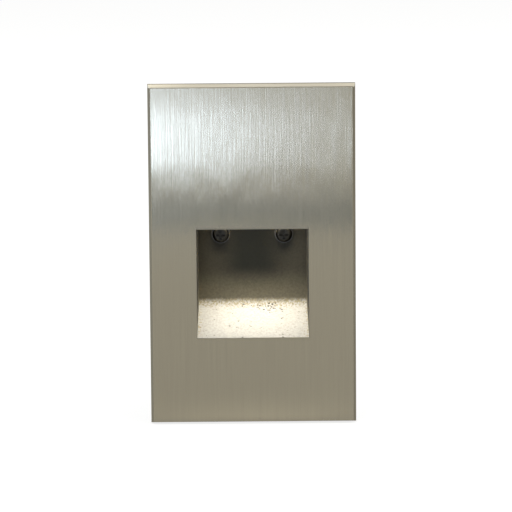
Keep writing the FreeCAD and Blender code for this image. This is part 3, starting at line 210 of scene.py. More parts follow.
def blank_tree(owner: bpy.types.Material | bpy.types.World) -> Tree:
    """Gives a material or world an empty node tree.

    Args:
        owner: The material or world.

    Returns:
        The empty tree.
    """
    owner.use_nodes = True
    owner.node_tree.nodes.clear()
    return owner.node_tree


def placed(name: str, data: bpy.types.ID) -> Thing:
    """Makes an object from its data and puts it in the scene.

    Args:
        name: The object's name.
        data: Its mesh, light or camera.

    Returns:
        The object.
    """
    thing = bpy.data.objects.new(name, data)
    bpy.context.scene.collection.objects.link(thing)
    return thing


def area_light(name: str, size: Span, watts: float, colour: str) -> Thing:
    """Makes a soft rectangular light that the camera doesn't see.

    Args:
        name: Its name.
        size: Its width and height.
        watts: Its power.
        colour: Its colour.

    Returns:
        The light, at the origin and facing down.
    """
    data = bpy.data.lights.new(name, "AREA")
    data.shape = "RECTANGLE"
    data.size, data.size_y = size
    data.energy = watts
    data.color = linear(colour)[:3]
    lamp = placed(name, data)
    lamp.visible_camera = False
    return lamp


@dataclass(frozen=True)
class Finish:
    """A finish with soft patches of a second colour, a fine grain in relief and an uneven gloss.

    Attributes:
        name: The material's name: its common name and how its surface was made.
        colour: Its main colour.
        shade: The colour of its patches.
        roughness: Its mean roughness.
        metallic: 1 for bare metal, 0 for the rest.
        patch_mm: The patches' size.
        grain_mm: The grain's size.
        depth_mm: How deep the grain is.
        uneven: How far roughness strays either way.
        coat: The weight of a clear layer on top.
        sheen: The weight of a dusty bloom.
        subsurface: How much light goes in and comes out again.
        reach_mm: How far that light travels inside.
        reach_share: How far red, green and blue get of that reach.
        index: The index of refraction, left alone on metal.
    """

    name: str
    colour: str
    shade: str
    roughness: float
    metallic: float = 0.0
    patch_mm: Size = 9.0
    grain_mm: Size = 0.4
    depth_mm: float = 0.01
    uneven: float = 0.06
    coat: float = 0.0
    sheen: float = 0.0
    subsurface: float = 0.0
    reach_mm: float = 1.0
    reach_share: Place = (1.0, 0.9, 0.8)
    index: float = 1.5

    def material(self) -> bpy.types.Material:
        """Makes the material once and gives the same one back later.

        Returns:
            The material.
        """
        made = bpy.data.materials.get(self.name)
        if made is None:
            made = bpy.data.materials.new(self.name)
            tree = blank_tree(made)
            made.diffuse_color = linear(self.colour)
            add_node(tree, "OutputMaterial", {"Surface": self.shader(tree)})
        return made

    def shader(self, tree: Tree) -> Socket:
        """Builds the surface shader from the finish's colour, gloss and relief.

        Args:
            tree: The material's nodes.

        Returns:
            The shader's output.
        """
        feeds = {
            "Base Color": self.colouring(tree),
            "Metallic": self.metallic,
            "Roughness": self.gloss(tree),
            "Normal": self.relief(tree),
            "Coat Weight": self.coat,
            "Sheen Weight": self.sheen,
            "Subsurface Weight": self.subsurface,
            "Subsurface Radius": self.reach_share,
            "Subsurface Scale": MM * self.reach_mm,
        }
        if self.metallic < 1:
            feeds["IOR"] = self.index
        feeds.update(self.extras(tree))
        return add_node(tree, "BsdfPrincipled", feeds)

    def colouring(self, tree: Tree) -> Socket:
        """Mixes the main colour and the shade by soft patches.

        Args:
            tree: The material's nodes.

        Returns:
            The colour.
        """
        patches = sized_noise(tree, self.patch_mm)
        share = add_node(tree, "MapRange", PATCHES.feeds(patches))
        return layered(tree, self.colour, (share, self.shade))

    def gloss(self, tree: Tree) -> Socket:
        """Lets roughness stray by the grain, as handling and moulding leave it."""
        grain = sized_noise(tree, np.multiply(GLOSS_PER_GRAIN, self.grain_mm))
        return add_node(tree, "MapRange", self.strayed().feeds(grain))

    def strayed(self) -> Ramp:
        """Runs roughness as far either way as it strays."""
        return Ramp(*GLOSS_SPAN, self.roughness - self.uneven, self.roughness + self.uneven)

    def relief(self, tree: Tree) -> Socket:
        """Raises the grain by its depth."""
        grain = sized_noise(tree, self.grain_mm)
        return add_node(tree, "Bump", {"Height": grain, "Strength": 1.0, "Distance": MM * self.depth_mm})

    def extras(self, tree: Tree) -> dict[str, object]:
        """Gives further feeds for the shader; a plain finish has none."""
        return {}


@dataclass(frozen=True)
class Drawn(Finish):
    """A metal with lines from a brush, mill or press, which draw its highlights out across them.

    Attributes:
        stretch: How far highlights are drawn out, from 0 to 1.
        about: The axis that the lines' cross direction runs round.
    """

    stretch: float = 0.6
    about: str = "Z"

    def extras(self, tree: Tree) -> dict[str, object]:
        """Adds the direction that highlights are drawn out along."""
        across = add_node(tree, "Tangent", direction_type="RADIAL", axis=self.about)
        return {"Anisotropic": self.stretch, "Tangent": across}


@dataclass(frozen=True)
class Glow(Finish):
    """A finish that also gives light of its own.

    Attributes:
        light: The light's colour.
        power: Its strength, where 1 shows as white.
        through: How much light passes through it.
    """

    light: str = "#FFE9C4"
    power: float = 4.0
    through: float = 0.0

    def extras(self, tree: Tree) -> dict[str, object]:
        """Adds the glow and the clear share."""
        return {
            "Emission Color": linear(self.light),
            "Emission Strength": self.power,
            "Transmission Weight": self.through,
        }


@dataclass(frozen=True)
class Board(Finish):
    """A circuit board: solder mask over a glass weave, with copper tracks that show as paler runs.

    Attributes:
        track: The colour of the mask over copper.
        track_mm: The size of the copper areas.
        track_stray: How far those areas leave a regular grid.
        track_edge: The run over an area's edge, in shares of its size.
        weave_mm: The pitch of the glass cloth.
    """

    track: str = "#2F7A4B"
    track_mm: float = 5.0
    track_stray: float = 0.7
    track_edge: Ramp = Ramp(0.38, 0.4)
    weave_mm: float = 0.314159

    def colouring(self, tree: Tree) -> Socket:
        """Lays copper areas with straight edges under the mask.

        Args:
            tree: The material's nodes.

        Returns:
            The colour.
        """
        place = add_node(tree, "TexCoord", out="Object")
        feeds = {"Vector": place, "Scale": 1 / (MM * self.track_mm), "Randomness": self.track_stray}
        cells = add_node(tree, "TexVoronoi", feeds, out="Distance", distance="CHEBYCHEV", feature="F1")
        share = add_node(tree, "MapRange", self.track_edge.feeds(cells))
        return layered(tree, self.track, (share, self.colour))

    def relief(self, tree: Tree) -> Socket:
        """Raises a plain weave: two sine waves that cross.

        Args:
            tree: The material's nodes.

        Returns:
            The bumped normal.
        """
        place = add_node(tree, "TexCoord", out="Object")
        scale = WAVE_PERIOD / (MM * self.weave_mm)
        waves = [
            add_node(tree, "TexWave", {"Vector": place, "Scale": scale}, bands_direction=way, out="Fac")
            for way in ("X", "Z")
        ]
        both = add_node(tree, "Math", {0: waves[0], 1: waves[1]}, operation="MULTIPLY")
        return add_node(tree, "Bump", {"Height": both, "Distance": MM * self.depth_mm})


@dataclass(frozen=True)
class Banded(Finish):
    """A piece whose ends or band differ from its middle along one axis, such as a fuse's plated caps.

    Attributes:
        band: The second colour.
        axis: The axis that the bands follow: 0, 1 or 2.
        start: Where the middle starts along the axis, in metres.
        end: Where the middle ends, in metres.
        band_metal: How metallic the ends are.
    """

    band: str = "#C9C6BE"
    axis: int = 0
    start: float = -0.001
    end: float = 0.001
    band_metal: float = 1.0

    def middle(self, tree: Tree) -> Socket:
        """Gives 1 between start and end along the axis, and 0 beyond.

        Args:
            tree: The material's nodes.

        Returns:
            The share, 0 or 1.
        """
        place = add_node(tree, "TexCoord", out="Object")
        along = add_node(tree, "SeparateXYZ", {0: place}, out=self.axis)
        centre = (self.start + self.end) / 2
        shifted = add_node(tree, "Math", {0: along, 1: centre}, operation="SUBTRACT")
        away = add_node(tree, "Math", {0: shifted}, operation="ABSOLUTE")
        return add_node(tree, "Math", {0: away, 1: (self.end - self.start) / 2}, operation="LESS_THAN")

    def colouring(self, tree: Tree) -> Socket:
        """Keeps the patches in the middle and puts the band's colour at the ends."""
        return layered(tree, self.band, (self.middle(tree), super().colouring(tree)))

    def extras(self, tree: Tree) -> dict[str, object]:
        """Makes the ends metal."""
        run = Ramp(0.0, 1.0, self.band_metal, self.metallic)
        return {"Metallic": add_node(tree, "MapRange", run.feeds(self.middle(tree)))}


@dataclass(frozen=True)
class ScoopCasting(Drawn):
    """The faceplate: one casting, brushed up and down on its face and left as cast in the scoop and behind.

    Attributes:
        face_y: Where the brushed face lies.
        edge_mm: How near to a plane counts as on it.
        half_width: Half the recess's width at the face, with a little over.
        low: The scoop's lowest point, at the face.
        top: The recess's highest point.
        back_y: Where the recess's back wall lies.
        scoop_top: Where the scoop's slope meets the back wall.
        flank_x: How far out the plate's drafted side flanks start.
        flank_painted_shade: Their colour, painted darker than the face as shade.
        crown_z: How high up the plate's drafted top edge starts.
        crown_y: The band of that edge that gets a painted highlight.
        crown_painted_highlight: The painted highlight's colour.
        pocket: The slope's colour.
        speck_colour: The colour of its darker warm specks.
        foot: The recess's walls' colour just above the slope, painted lighter there as bounced light.
        deep: Their painted shade higher up.
        aside: Their painted light there towards the sides, where more of the lamp's light lands.
        behind: The hidden side's colour.
        pit: A pinhole's painted shade inside.
        cast_roughness: The roughness of what isn't brushed.
        cast_metallic: How metallic the oxide-dulled recess is.
        cast_level: How strongly it shines at a glance; a casting's pores swallow most of that.
        foot_rise: The run of heights over the slope from its colour to the foot's painted bounced light.
        deep_rise: The run of heights from the foot's painted bounced light to the painted shade higher up.
        aside_run: The run of distances from the middle from the painted shade to the painted light at the
            sides.
        ragged_mm: How far the casting's grit makes those heights stray.
        grit_mm: That grit's size.
        mottle_mm: The size of the recess's darker mottle.
        mottle: The run of noise over which it fades, and of brightness.
        speckle_mm: The specks' size.
        speckle: The run of noise over which a speck comes up.
        specks_back: What depth adds to that noise.
        specks_side: What the distance from the middle adds to it.
        hairline_mm: A brush line's size; real ones are finer than the render can show.
        hairline_depth_mm: How deep the lines are.
        stroke_mm: The size of the shorter strokes among them.
        stroke_depth_mm: How deep the strokes are.
        wave_mm: The size of the plate's slow waves, which bend a reflection's edge.
        wave_depth_mm: How high the waves are.
        pit_mm: The pinholes' spacing.
        pit_stretch: How much closer they lie along each axis than evenly spaced ones.
        pit_edge: The run over a pinhole's edge, in spacings.
        pit_depth_mm: How deep they are.
        porous_at: The middle of the one patch where pinholes lie close.
        porous_mm: How far that patch reaches along X, Y and Z.
        porous_gain: What the patch adds to the clusters' noise, over the distance in reaches.
        cluster_mm: The size of the clusters that pinholes come in.
        cluster: The run of noise from none of a cluster's pinholes to all.
    """

    face_y: float = -0.005
    edge_mm: float = 0.1
    half_width: float = 0.0208
    low: float = -0.0309
    top: float = 0.0101
    back_y: float = 0.015
    scoop_top: float = -0.0221
    flank_x: float = 0.0370
    flank_painted_shade: str = "#7B7564"
    crown_z: float = 0.0623
    crown_y: Span = (-0.0051, -0.0017)
    crown_painted_highlight: str = "#D9D2BF"
    pocket: str = "#ADABA3"
    speck_colour: str = "#928769"
    foot: str = "#6A6452"
    deep: str = "#1B1B15"
    aside: str = "#3A372D"
    behind: str = "#8B8A84"
    pit: str = "#2A261E"
    ragged_mm: float = 1.8
    grit_mm: Size = 0.9
    mottle_mm: Size = 0.8
    mottle: Ramp = Ramp(0.35, 0.6, 0.8)
    speckle_mm: Size = (0.6, 0.9, 0.6)
    speckle: Ramp = Ramp(0.48, 0.62)
    specks_back: Ramp = Ramp(0.0095, 0.0145, -0.3, 0.05)
    specks_side: Ramp = Ramp(0.0165, 0.0205, -0.3, 0.02)
    cast_roughness: float = 0.75
    cast_metallic: float = 0.03
    cast_level: float = 0.25
    foot_rise: Ramp = Ramp(0.0006, 0.0026)
    deep_rise: Ramp = Ramp(0.0, 0.015)
    aside_run: Ramp = Ramp(0.003, 0.017)
    hairline_mm: Size = (0.36, 4.0, 24.0)
    hairline_depth_mm: float = 0.03
    stroke_mm: Size = (0.4, 4.0, 5.0)
    stroke_depth_mm: float = 0.018
    wave_mm: Size = (9.0, 26.0, 18.0)
    wave_depth_mm: float = 0.05
    pit_mm: float = 0.85
    pit_stretch: Place = (0.75, 1.0, 1.0)
    pit_edge: Ramp = Ramp(0.46, 0.27)
    pit_depth_mm: float = 0.06
    porous_at: Place = (0.0065, 0.0115, -0.0228)
    porous_mm: Place = (7.5, 4.0, 3.0)
    porous_gain: Ramp = Ramp(1.1, 0.5, 0.0, 0.24)
    cluster_mm: Size = 2.6
    cluster: Ramp = Ramp(0.6, 0.68)

    def axes(self, tree: Tree) -> tuple[Socket, Socket, Socket]:
        """Gives the piece's own X, Y and Z."""
        place = add_node(tree, "TexCoord", out="Object")
        return tuple(add_node(tree, "SeparateXYZ", {0: place}, out=i) for i in range(3))

    def on_face(self, tree: Tree) -> Socket:
        """Gives 1 at the face's plane, and 0 elsewhere."""
        _, y, _ = self.axes(tree)
        return add_node(tree, "Math", {0: y, 1: self.face_y + self.edge_mm * MM}, operation="LESS_THAN")

    def in_recess(self, tree: Tree) -> Socket:
        """Gives 1 within the recess's own box, which holds its walls and its slope.

        Args:
            tree: The material's nodes.

        Returns:
            The share, 0 or 1.
        """
        x, y, z = self.axes(tree)
        edge = self.edge_mm * MM
        tests = [
            (x, 0.0, self.half_width),
            (z, (self.low + self.top) / 2, (self.top - self.low) / 2 + 2 * edge),
            (y, (self.face_y + self.back_y) / 2, (self.back_y - self.face_y) / 2 + edge),
        ]
        inside = 1.0
        for axis, centre, reach in tests:
            feeds = {0: axis, 1: centre, 2: reach}
            near = add_node(tree, "Math", feeds, operation="COMPARE")
            inside = add_node(tree, "Math", {0: inside, 1: near}, operation="MULTIPLY")
        return inside

    def height_share(self, tree: Tree, rise: Ramp) -> Socket:
        """Rises smoothly along a run of heights over the slope, itself a straight line in Y.

        Args:
            tree: The material's nodes.
            rise: The run of heights.

        Returns:
            The share, from 0 below the run to 1 above it.
        """
        _, y, z = self.axes(tree)
        slope = Ramp(self.face_y, self.back_y, self.low, self.scoop_top)
        line = add_node(tree, "MapRange", slope.feeds(y))
        height = add_node(tree, "Math", {0: z, 1: line}, operation="SUBTRACT")
        noise = sized_noise(tree, self.grit_mm, detail=3.0)
        grit = add_node(tree, "Math", {0: noise, 1: 0.5}, operation="SUBTRACT")
        feeds = {0: grit, 1: MM * self.ragged_mm, 2: height}
        ragged = add_node(tree, "Math", feeds, operation="MULTIPLY_ADD")
        return add_node(tree, "MapRange", rise.feeds(ragged), interpolation_type="SMOOTHSTEP")

    def colouring(self, tree: Tree) -> Socket:
        """Gives each part of the casting its colour, from its hidden side up to the lines on the face.

        The flanks and the top edge carry painted shade, and a band along the top edge a painted highlight.

        Args:
            tree: The material's nodes.

        Returns:
            The colour.
        """
        lines = sized_noise(tree, self.hairline_mm, detail=3.0)
        share = add_node(tree, "MapRange", BRUSH_LINES.feeds(lines))
        face = layered(tree, self.colour, (share, self.shade))
        _, y, z = self.axes(tree)
        # Above crown_z the top edge takes the flanks' painted shade, with a painted highlight along its
        # band.
        upper = add_node(tree, "Math", {0: z, 1: self.crown_z}, operation="GREATER_THAN")
        feeds = {0: y, 1: sum(self.crown_y) / 2, 2: (self.crown_y[1] - self.crown_y[0]) / 2}
        band = add_node(tree, "Math", feeds, operation="COMPARE")
        # The side flanks' painted shade.
        side = add_node(tree, "Math", {0: self.out_x(tree), 1: self.flank_x}, operation="GREATER_THAN")
        return layered(
            tree,
            self.behind,
            (self.in_recess(tree), self.scoop(tree)),
            (side, self.flank_painted_shade),
            (upper, layered(tree, self.flank_painted_shade, (band, self.crown_painted_highlight))),
            (self.on_face(tree), face),
        )

    def out_x(self, tree: Tree) -> Socket:
        """Gives the distance from the plate's middle line."""
        return add_node(tree, "Math", {0: self.axes(tree)[0]}, operation="ABSOLUTE")

    def scoop(self, tree: Tree) -> Socket:
        """Colours the recess: a mottled pale slope with darker specks and pits, and walls that darken
        upwards.

        The pits' darkness is painted shade, and the walls' lighter foot and dark top
        are painted bounced light and painted shade.

        Args:
            tree: The material's nodes.

        Returns:
            The recess's colour.
        """
        # The walls: painted bounced light at their foot, painted shade higher up and painted light towards
        # the sides.
        run = self.aside_run.feeds(self.out_x(tree))
        aside = add_node(tree, "MapRange", run, interpolation_type="SMOOTHSTEP")
        deep = layered(tree, self.deep, (aside, self.aside))
        walls = layered(tree, self.foot, (self.height_share(tree, self.deep_rise), deep))
        plain = layered(
            tree,
            self.pocket,
            (self.darker_specks(tree), self.speck_colour),
            (self.height_share(tree, self.foot_rise), walls),
            # The pinholes' painted shade.
            (self.pits(tree), self.pit),
        )
        noise = sized_noise(tree, self.mottle_mm, detail=3.0)
        share = add_node(tree, "MapRange", self.mottle.feeds(noise))
        return add_node(tree, "VectorMath", {0: plain, "Scale": share}, operation="SCALE")

    def darker_specks(self, tree: Tree) -> Socket:
        """Gives the share of the slope under darker warm specks: most at its back and along its sides.

        Args:
            tree: The material's nodes.

        Returns:
            The share, from 0 to 1.
        """
        _, y, _ = self.axes(tree)
        back = add_node(tree, "MapRange", self.specks_back.feeds(y))
        side = add_node(tree, "MapRange", self.specks_side.feeds(self.out_x(tree)))
        near = add_node(tree, "Math", {0: back, 1: side}, operation="MAXIMUM")
        noise = sized_noise(tree, self.speckle_mm, detail=3.0)
        speckle = add_node(tree, "Math", {0: noise, 1: near}, operation="ADD")
        return add_node(tree, "MapRange", self.speckle.feeds(speckle))

    def pits(self, tree: Tree) -> Socket:
        """Scatters the slope's pinholes as small cells, close in its porous patch and rare elsewhere.

        Args:
            tree: The material's nodes.

        Returns:
            The share, 1 in a pinhole.
        """
        place = add_node(tree, "TexCoord", out="Object")
        wide = add_node(tree, "VectorMath", {0: place, 1: self.pit_stretch}, operation="MULTIPLY")
        feeds = {"Vector": wide, "Scale": 1 / (MM * self.pit_mm)}
        cells = add_node(tree, "TexVoronoi", feeds, out="Distance")
        hole = add_node(tree, "MapRange", self.pit_edge.feeds(cells))
        away = add_node(tree, "VectorMath", {0: place, 1: self.porous_at}, operation="SUBTRACT")
        reach = tuple(MM * size for size in self.porous_mm)
        share = add_node(tree, "VectorMath", {0: away, 1: reach}, operation="DIVIDE")
        far = add_node(tree, "VectorMath", {0: share}, out="Value", operation="LENGTH")
        patch = add_node(tree, "MapRange", self.porous_gain.feeds(far))
        cluster = sized_noise(tree, self.cluster_mm, detail=3.0)
        rich = add_node(tree, "Math", {0: cluster, 1: patch}, operation="ADD")
        here = add_node(tree, "MapRange", self.cluster.feeds(rich))
        spots = add_node(tree, "Math", {0: hole, 1: here}, operation="MULTIPLY")
        wall = self.height_share(tree, self.foot_rise)
        slope = add_node(tree, "Math", {0: 1.0, 1: wall}, operation="SUBTRACT")
        return add_node(tree, "Math", {0: spots, 1: slope}, operation="MULTIPLY")

    def gloss(self, tree: Tree) -> Socket:
        """Keeps the face glossy along its lines and the casting matt.

        Args:
            tree: The material's nodes.

        Returns:
            The roughness.
        """
        lines = sized_noise(tree, self.hairline_mm, detail=3.0)
        face = add_node(tree, "MapRange", self.strayed().feeds(lines))
        feeds = {MIX_SHARE: self.on_face(tree), MIX_NUMBERS[0]: self.cast_roughness, MIX_NUMBERS[1]: face}
        return add_node(tree, "Mix", feeds, data_type="FLOAT")

    def relief(self, tree: Tree) -> Socket:
        """Cuts hairlines into the slowly waving face, and grain and pits into the rest.

        Args:
            tree: The material's nodes.

        Returns:
            The bumped normal.
        """
        sizes = [
            (sized_noise(tree, self.hairline_mm, detail=2.0), self.hairline_depth_mm),
            (sized_noise(tree, self.stroke_mm, detail=2.0), self.stroke_depth_mm),
            (sized_noise(tree, self.wave_mm, detail=1.0), self.wave_depth_mm),
            (sized_noise(tree, self.grain_mm, detail=3.0), self.depth_mm),
            (self.pits(tree), -self.pit_depth_mm),
        ]
        line, stroke, wave, grain, pit = (
            add_node(tree, "Math", {0: pattern, 1: MM * depth}, operation="MULTIPLY")
            for pattern, depth in sizes
        )
        brushed = add_node(tree, "Math", {0: line, 1: stroke}, operation="ADD")
        face = add_node(tree, "Math", {0: brushed, 1: wave}, operation="ADD")
        cast = add_node(tree, "Math", {0: grain, 1: pit}, operation="ADD")
        feeds = {MIX_SHARE: self.on_face(tree), MIX_NUMBERS[0]: cast, MIX_NUMBERS[1]: face}
        height = add_node(tree, "Mix", feeds, data_type="FLOAT")
        return add_node(tree, "Bump", {"Height": height, "Strength": 1.0, "Distance": 1.0})

    def extras(self, tree: Tree) -> dict[str, object]:
        """Adds the drawn-out highlights, and dulls the oxide in the recess.

        Args:
            tree: The material's nodes.

        Returns:
            The further feeds.
        """
        run = Ramp(0.0, 1.0, self.metallic, self.cast_metallic)
        metal = add_node(tree, "MapRange", run.feeds(self.in_recess(tree)))
        return {**super().extras(tree), "Metallic": metal, "Specular IOR Level": self.cast_level}


# Stainless casting, brushed up and down by an abrasive belt: hairlines draw every highlight out sideways,
# and the unbrushed scoop stays grey-brown and matt with a few pinholes.
BRUSHED_CASTING = ScoopCasting(
    "brushed_stainless_casting", "#8A8473", "#868070", 0.17, 1.0,
    grain_mm=0.35, depth_mm=0.02, uneven=0.035, stretch=0.98,
)
# Closed-cell foam, sliced from a block: matt black with small open cells on the cut.
SLICED_FOAM = Finish(
    "sliced_closed_cell_foam", "#1B1B1B", "#2A2A2A", 0.92, grain_mm=0.6, depth_mm=0.12, sheen=0.1
)
# Steel screw, turned and blackened: dull and dark, with faint rings of tool marks.
TURNED_STEEL = Drawn(
    "turned_blackened_steel", "#2F2D28", "#242320", 0.4, 1.0,
    grain_mm=(0.3, 0.12, 0.3), depth_mm=0.004, about="Y",
)
# Nylon, moulded: even, faintly waxy black.
MOULDED_WASHER = Finish("moulded_black_nylon", "#34332F", "#3D3B36", 0.5, depth_mm=0.003)
# Steel sheet, pressed and zinc plated: bluish grey with a soft crystal mottle.
PLATED_SHEET = Drawn(
    "pressed_zinc_plated_steel", "#B9BCBB", "#A4A8A9", 0.36, 1.0,
    patch_mm=5.0, grain_mm=(0.5, 4.0, 9.0), depth_mm=0.003, stretch=0.3,
)
# Steel screws, rolled and zinc plated: brighter than the sheet, slightly uneven.
PLATED_SCREW = Drawn(
    "rolled_zinc_plated_steel", "#C4C3BC", "#ABA9A0", 0.3, 1.0,
    patch_mm=1.5, grain_mm=0.2, depth_mm=0.002, stretch=0.2, about="Y",
)
# Earthing screw, zinc plated and dyed green.
DYED_SCREW = Finish(
    "dyed_green_zinc_plating", "#2F8A4C", "#22703B", 0.36, 0.85,
    patch_mm=1.5, grain_mm=0.2, depth_mm=0.002,
)
# Aluminium, die cast and shot blasted: pale grey, evenly matt, with a fine peened grain.
BLASTED_ALUMINIUM = Finish(
    "shot_blasted_die_cast_aluminium", "#A6A6A3", "#9E9E9B", 0.5, 0.9,
    patch_mm=6.0, grain_mm=0.45, depth_mm=0.05,
)
# Aluminium, milled and anodised clear: satin with straight cutter lines.
MILLED_ALUMINIUM = Drawn(
    "milled_anodised_aluminium", "#CDCFD1", "#C0C3C6", 0.34, 1.0,
    grain_mm=(12.0, 12.0, 0.25), depth_mm=0.004, stretch=0.5,
)
# Silicone sheet filled with ceramic powder, die cut: blue-grey, dead matt.
FILLED_SILICONE = Finish(
    "die_cut_filled_silicone", "#8A8D96", "#80838C", 0.85, grain_mm=0.15, depth_mm=0.01, subsurface=0.05
)
# Aluminium-backed lamp board, white solder mask: a smooth satin white over copper.
WHITE_BOARD = Board(
    "white_mask_lamp_board", "#E8E7E1", "#DEDDD6", 0.38, depth_mm=0.002, track="#F2F1EC", track_mm=6.0
)
# Phosphor under clear silicone, dispensed: egg-yolk yellow that glows warm white.
LIT_PHOSPHOR = Glow(
    "dispensed_phosphor_silicone", "#F2D98C", "#EBCF7C", 0.2, depth_mm=0.002, coat=0.4, power=12.0
)
# Nylon, moulded natural: warm off-white with a waxy gloss.
NATURAL_NYLON = Finish("moulded_natural_nylon", "#DAD5C6", "#D0CBBB", 0.42, depth_mm=0.003, subsurface=0.15)
# Polycarbonate, moulded white: bright, even satin that throws light forward.
WHITE_REFLECTOR = Finish(
    "moulded_white_polycarbonate", "#ECEBE6", "#E4E3DD", 0.3, depth_mm=0.002, subsurface=0.05
)
# Silicone, moulded: milky grey and soft looking.
MOULDED_SILICONE = Finish(
    "moulded_grey_silicone", "#B9B7B2", "#ADABA6", 0.6, depth_mm=0.004, subsurface=0.2
)
# Polycarbonate lens, moulded and etched: a frosted window full of the lamp's light.
ETCHED_LENS = Glow(
    "etched_polycarbonate_lens", "#F4EFE2", "#EFE9DA", 0.45,
    depth_mm=0.006, grain_mm=0.25, power=3.0, light="#FFF6E6", through=0.4, index=1.58,
)
# Stainless sheet, stamped: a thin bright frame with rolling lines.
STAMPED_STAINLESS = Drawn(
    "stamped_stainless_sheet", "#B4B1A8", "#A19E95", 0.3, 1.0,
    grain_mm=(8.0, 0.3, 8.0), depth_mm=0.002, stretch=0.4,
)
# PVC insulation, extruded: smooth with faint lengthwise lines, one lead red and one black.
RED_LEAD = Finish(
    "extruded_red_pvc", "#A3211B", "#931C17", 0.38, grain_mm=(0.2, 5.0, 0.2), depth_mm=0.004, coat=0.1
)
BLACK_LEAD = replace(RED_LEAD, name="extruded_black_pvc", colour="#1E1E1E", shade="#262626")
# Rubber, moulded: near black and matt, with a faint grey bloom.
MOULDED_RUBBER = Finish(
    "moulded_black_rubber", "#202020", "#2B2B2A", 0.72, grain_mm=0.25, depth_mm=0.01, sheen=0.15
)
# Glass-cloth board, green solder mask: tracks show as paler runs over a fine weave.
GREEN_BOARD = Board("green_mask_glass_board", "#1E5C37", "#1A5131", 0.35, depth_mm=0.004, coat=0.2)
# Ferrite, pressed and sintered: charcoal with a fine dry grain.
SINTERED_FERRITE = Finish(
    "sintered_ferrite", "#2E2E30", "#3A3A3C", 0.55, grain_mm=0.2, depth_mm=0.01
)
# Polyester tape, wound: glossy amber-yellow with the edges of its turns.
WOUND_TAPE = Finish(
    "wound_polyester_tape", "#D2A127", "#B98A1B", 0.25,
    grain_mm=(9.0, 9.0, 0.5), depth_mm=0.01, coat=0.5,
)
# Capacitor sleeves, shrunk over their cans: smooth and glossy, with faint marks.
BLACK_SLEEVE = Finish(
    "shrunk_black_sleeve", "#1F2024", "#292A2F", 0.3, grain_mm=(0.5, 0.5, 4.0), depth_mm=0.006, coat=0.3
)
BLUE_SLEEVE = replace(BLACK_SLEEVE, name="shrunk_blue_sleeve", colour="#1D3A6B", shade="#17305C")
# Film capacitor, resin-filled moulded box: smooth ochre yellow.
MOULDED_YELLOW = Finish("moulded_yellow_box", "#D8AA2C", "#CE9F25", 0.32, depth_mm=0.004)
# Varistor, dipped in epoxy: thick rounded blue with a glossy skin.
DIPPED_EPOXY = Finish(
    "dipped_blue_epoxy", "#24509A", "#1C428A", 0.22, grain_mm=1.5, depth_mm=0.03, coat=0.4
)
# Epoxy, moulded: the dull charcoal of chip packages.
MOULDED_EPOXY = Finish(
    "moulded_black_epoxy", "#2A2A2B", "#313132", 0.6, grain_mm=0.12, depth_mm=0.006
)
# Nylon terminal block, moulded green.
GREEN_TERMINAL = Finish("moulded_green_nylon", "#2C7D4A", "#257041", 0.4, depth_mm=0.004, subsurface=0.1)
# Glass-filled nylon cover, moulded with a spark-eroded texture: dark grey and evenly matt.
TEXTURED_COVER = Finish(
    "spark_textured_black_nylon", "#2B2C2D", "#333435", 0.62, grain_mm=0.4, depth_mm=0.03
)


@dataclass
class Assembly:
    """Pieces that a maker fits together, and that are dressed together here.

    Attributes:
        nodes: The frame's nodes by name.
    """

    nodes: Nodes

    def finishes(self) -> dict[str, Finish]:
        """Gives each piece's finish by the piece's name."""
        return {}

    def dress(self) -> None:
        """Puts its finish on each piece."""
        for name, finish in self.finishes().items():
            material = finish.material()
            thing = self.nodes[name]
            if not thing.material_slots:
                thing.data.materials.append(material)
            for slot in thing.material_slots:
                slot.material = material
            log.info("dressed %s in %s", name, finish.name)


class Faceplate(Assembly):
    """The brushed casting and the foam ring that seals it to the wall."""

    def finishes(self) -> dict[str, Finish]:
        """Brushes the casting and blackens the foam."""
        return {"faceplate": BRUSHED_CASTING, "wall_gasket": SLICED_FOAM}


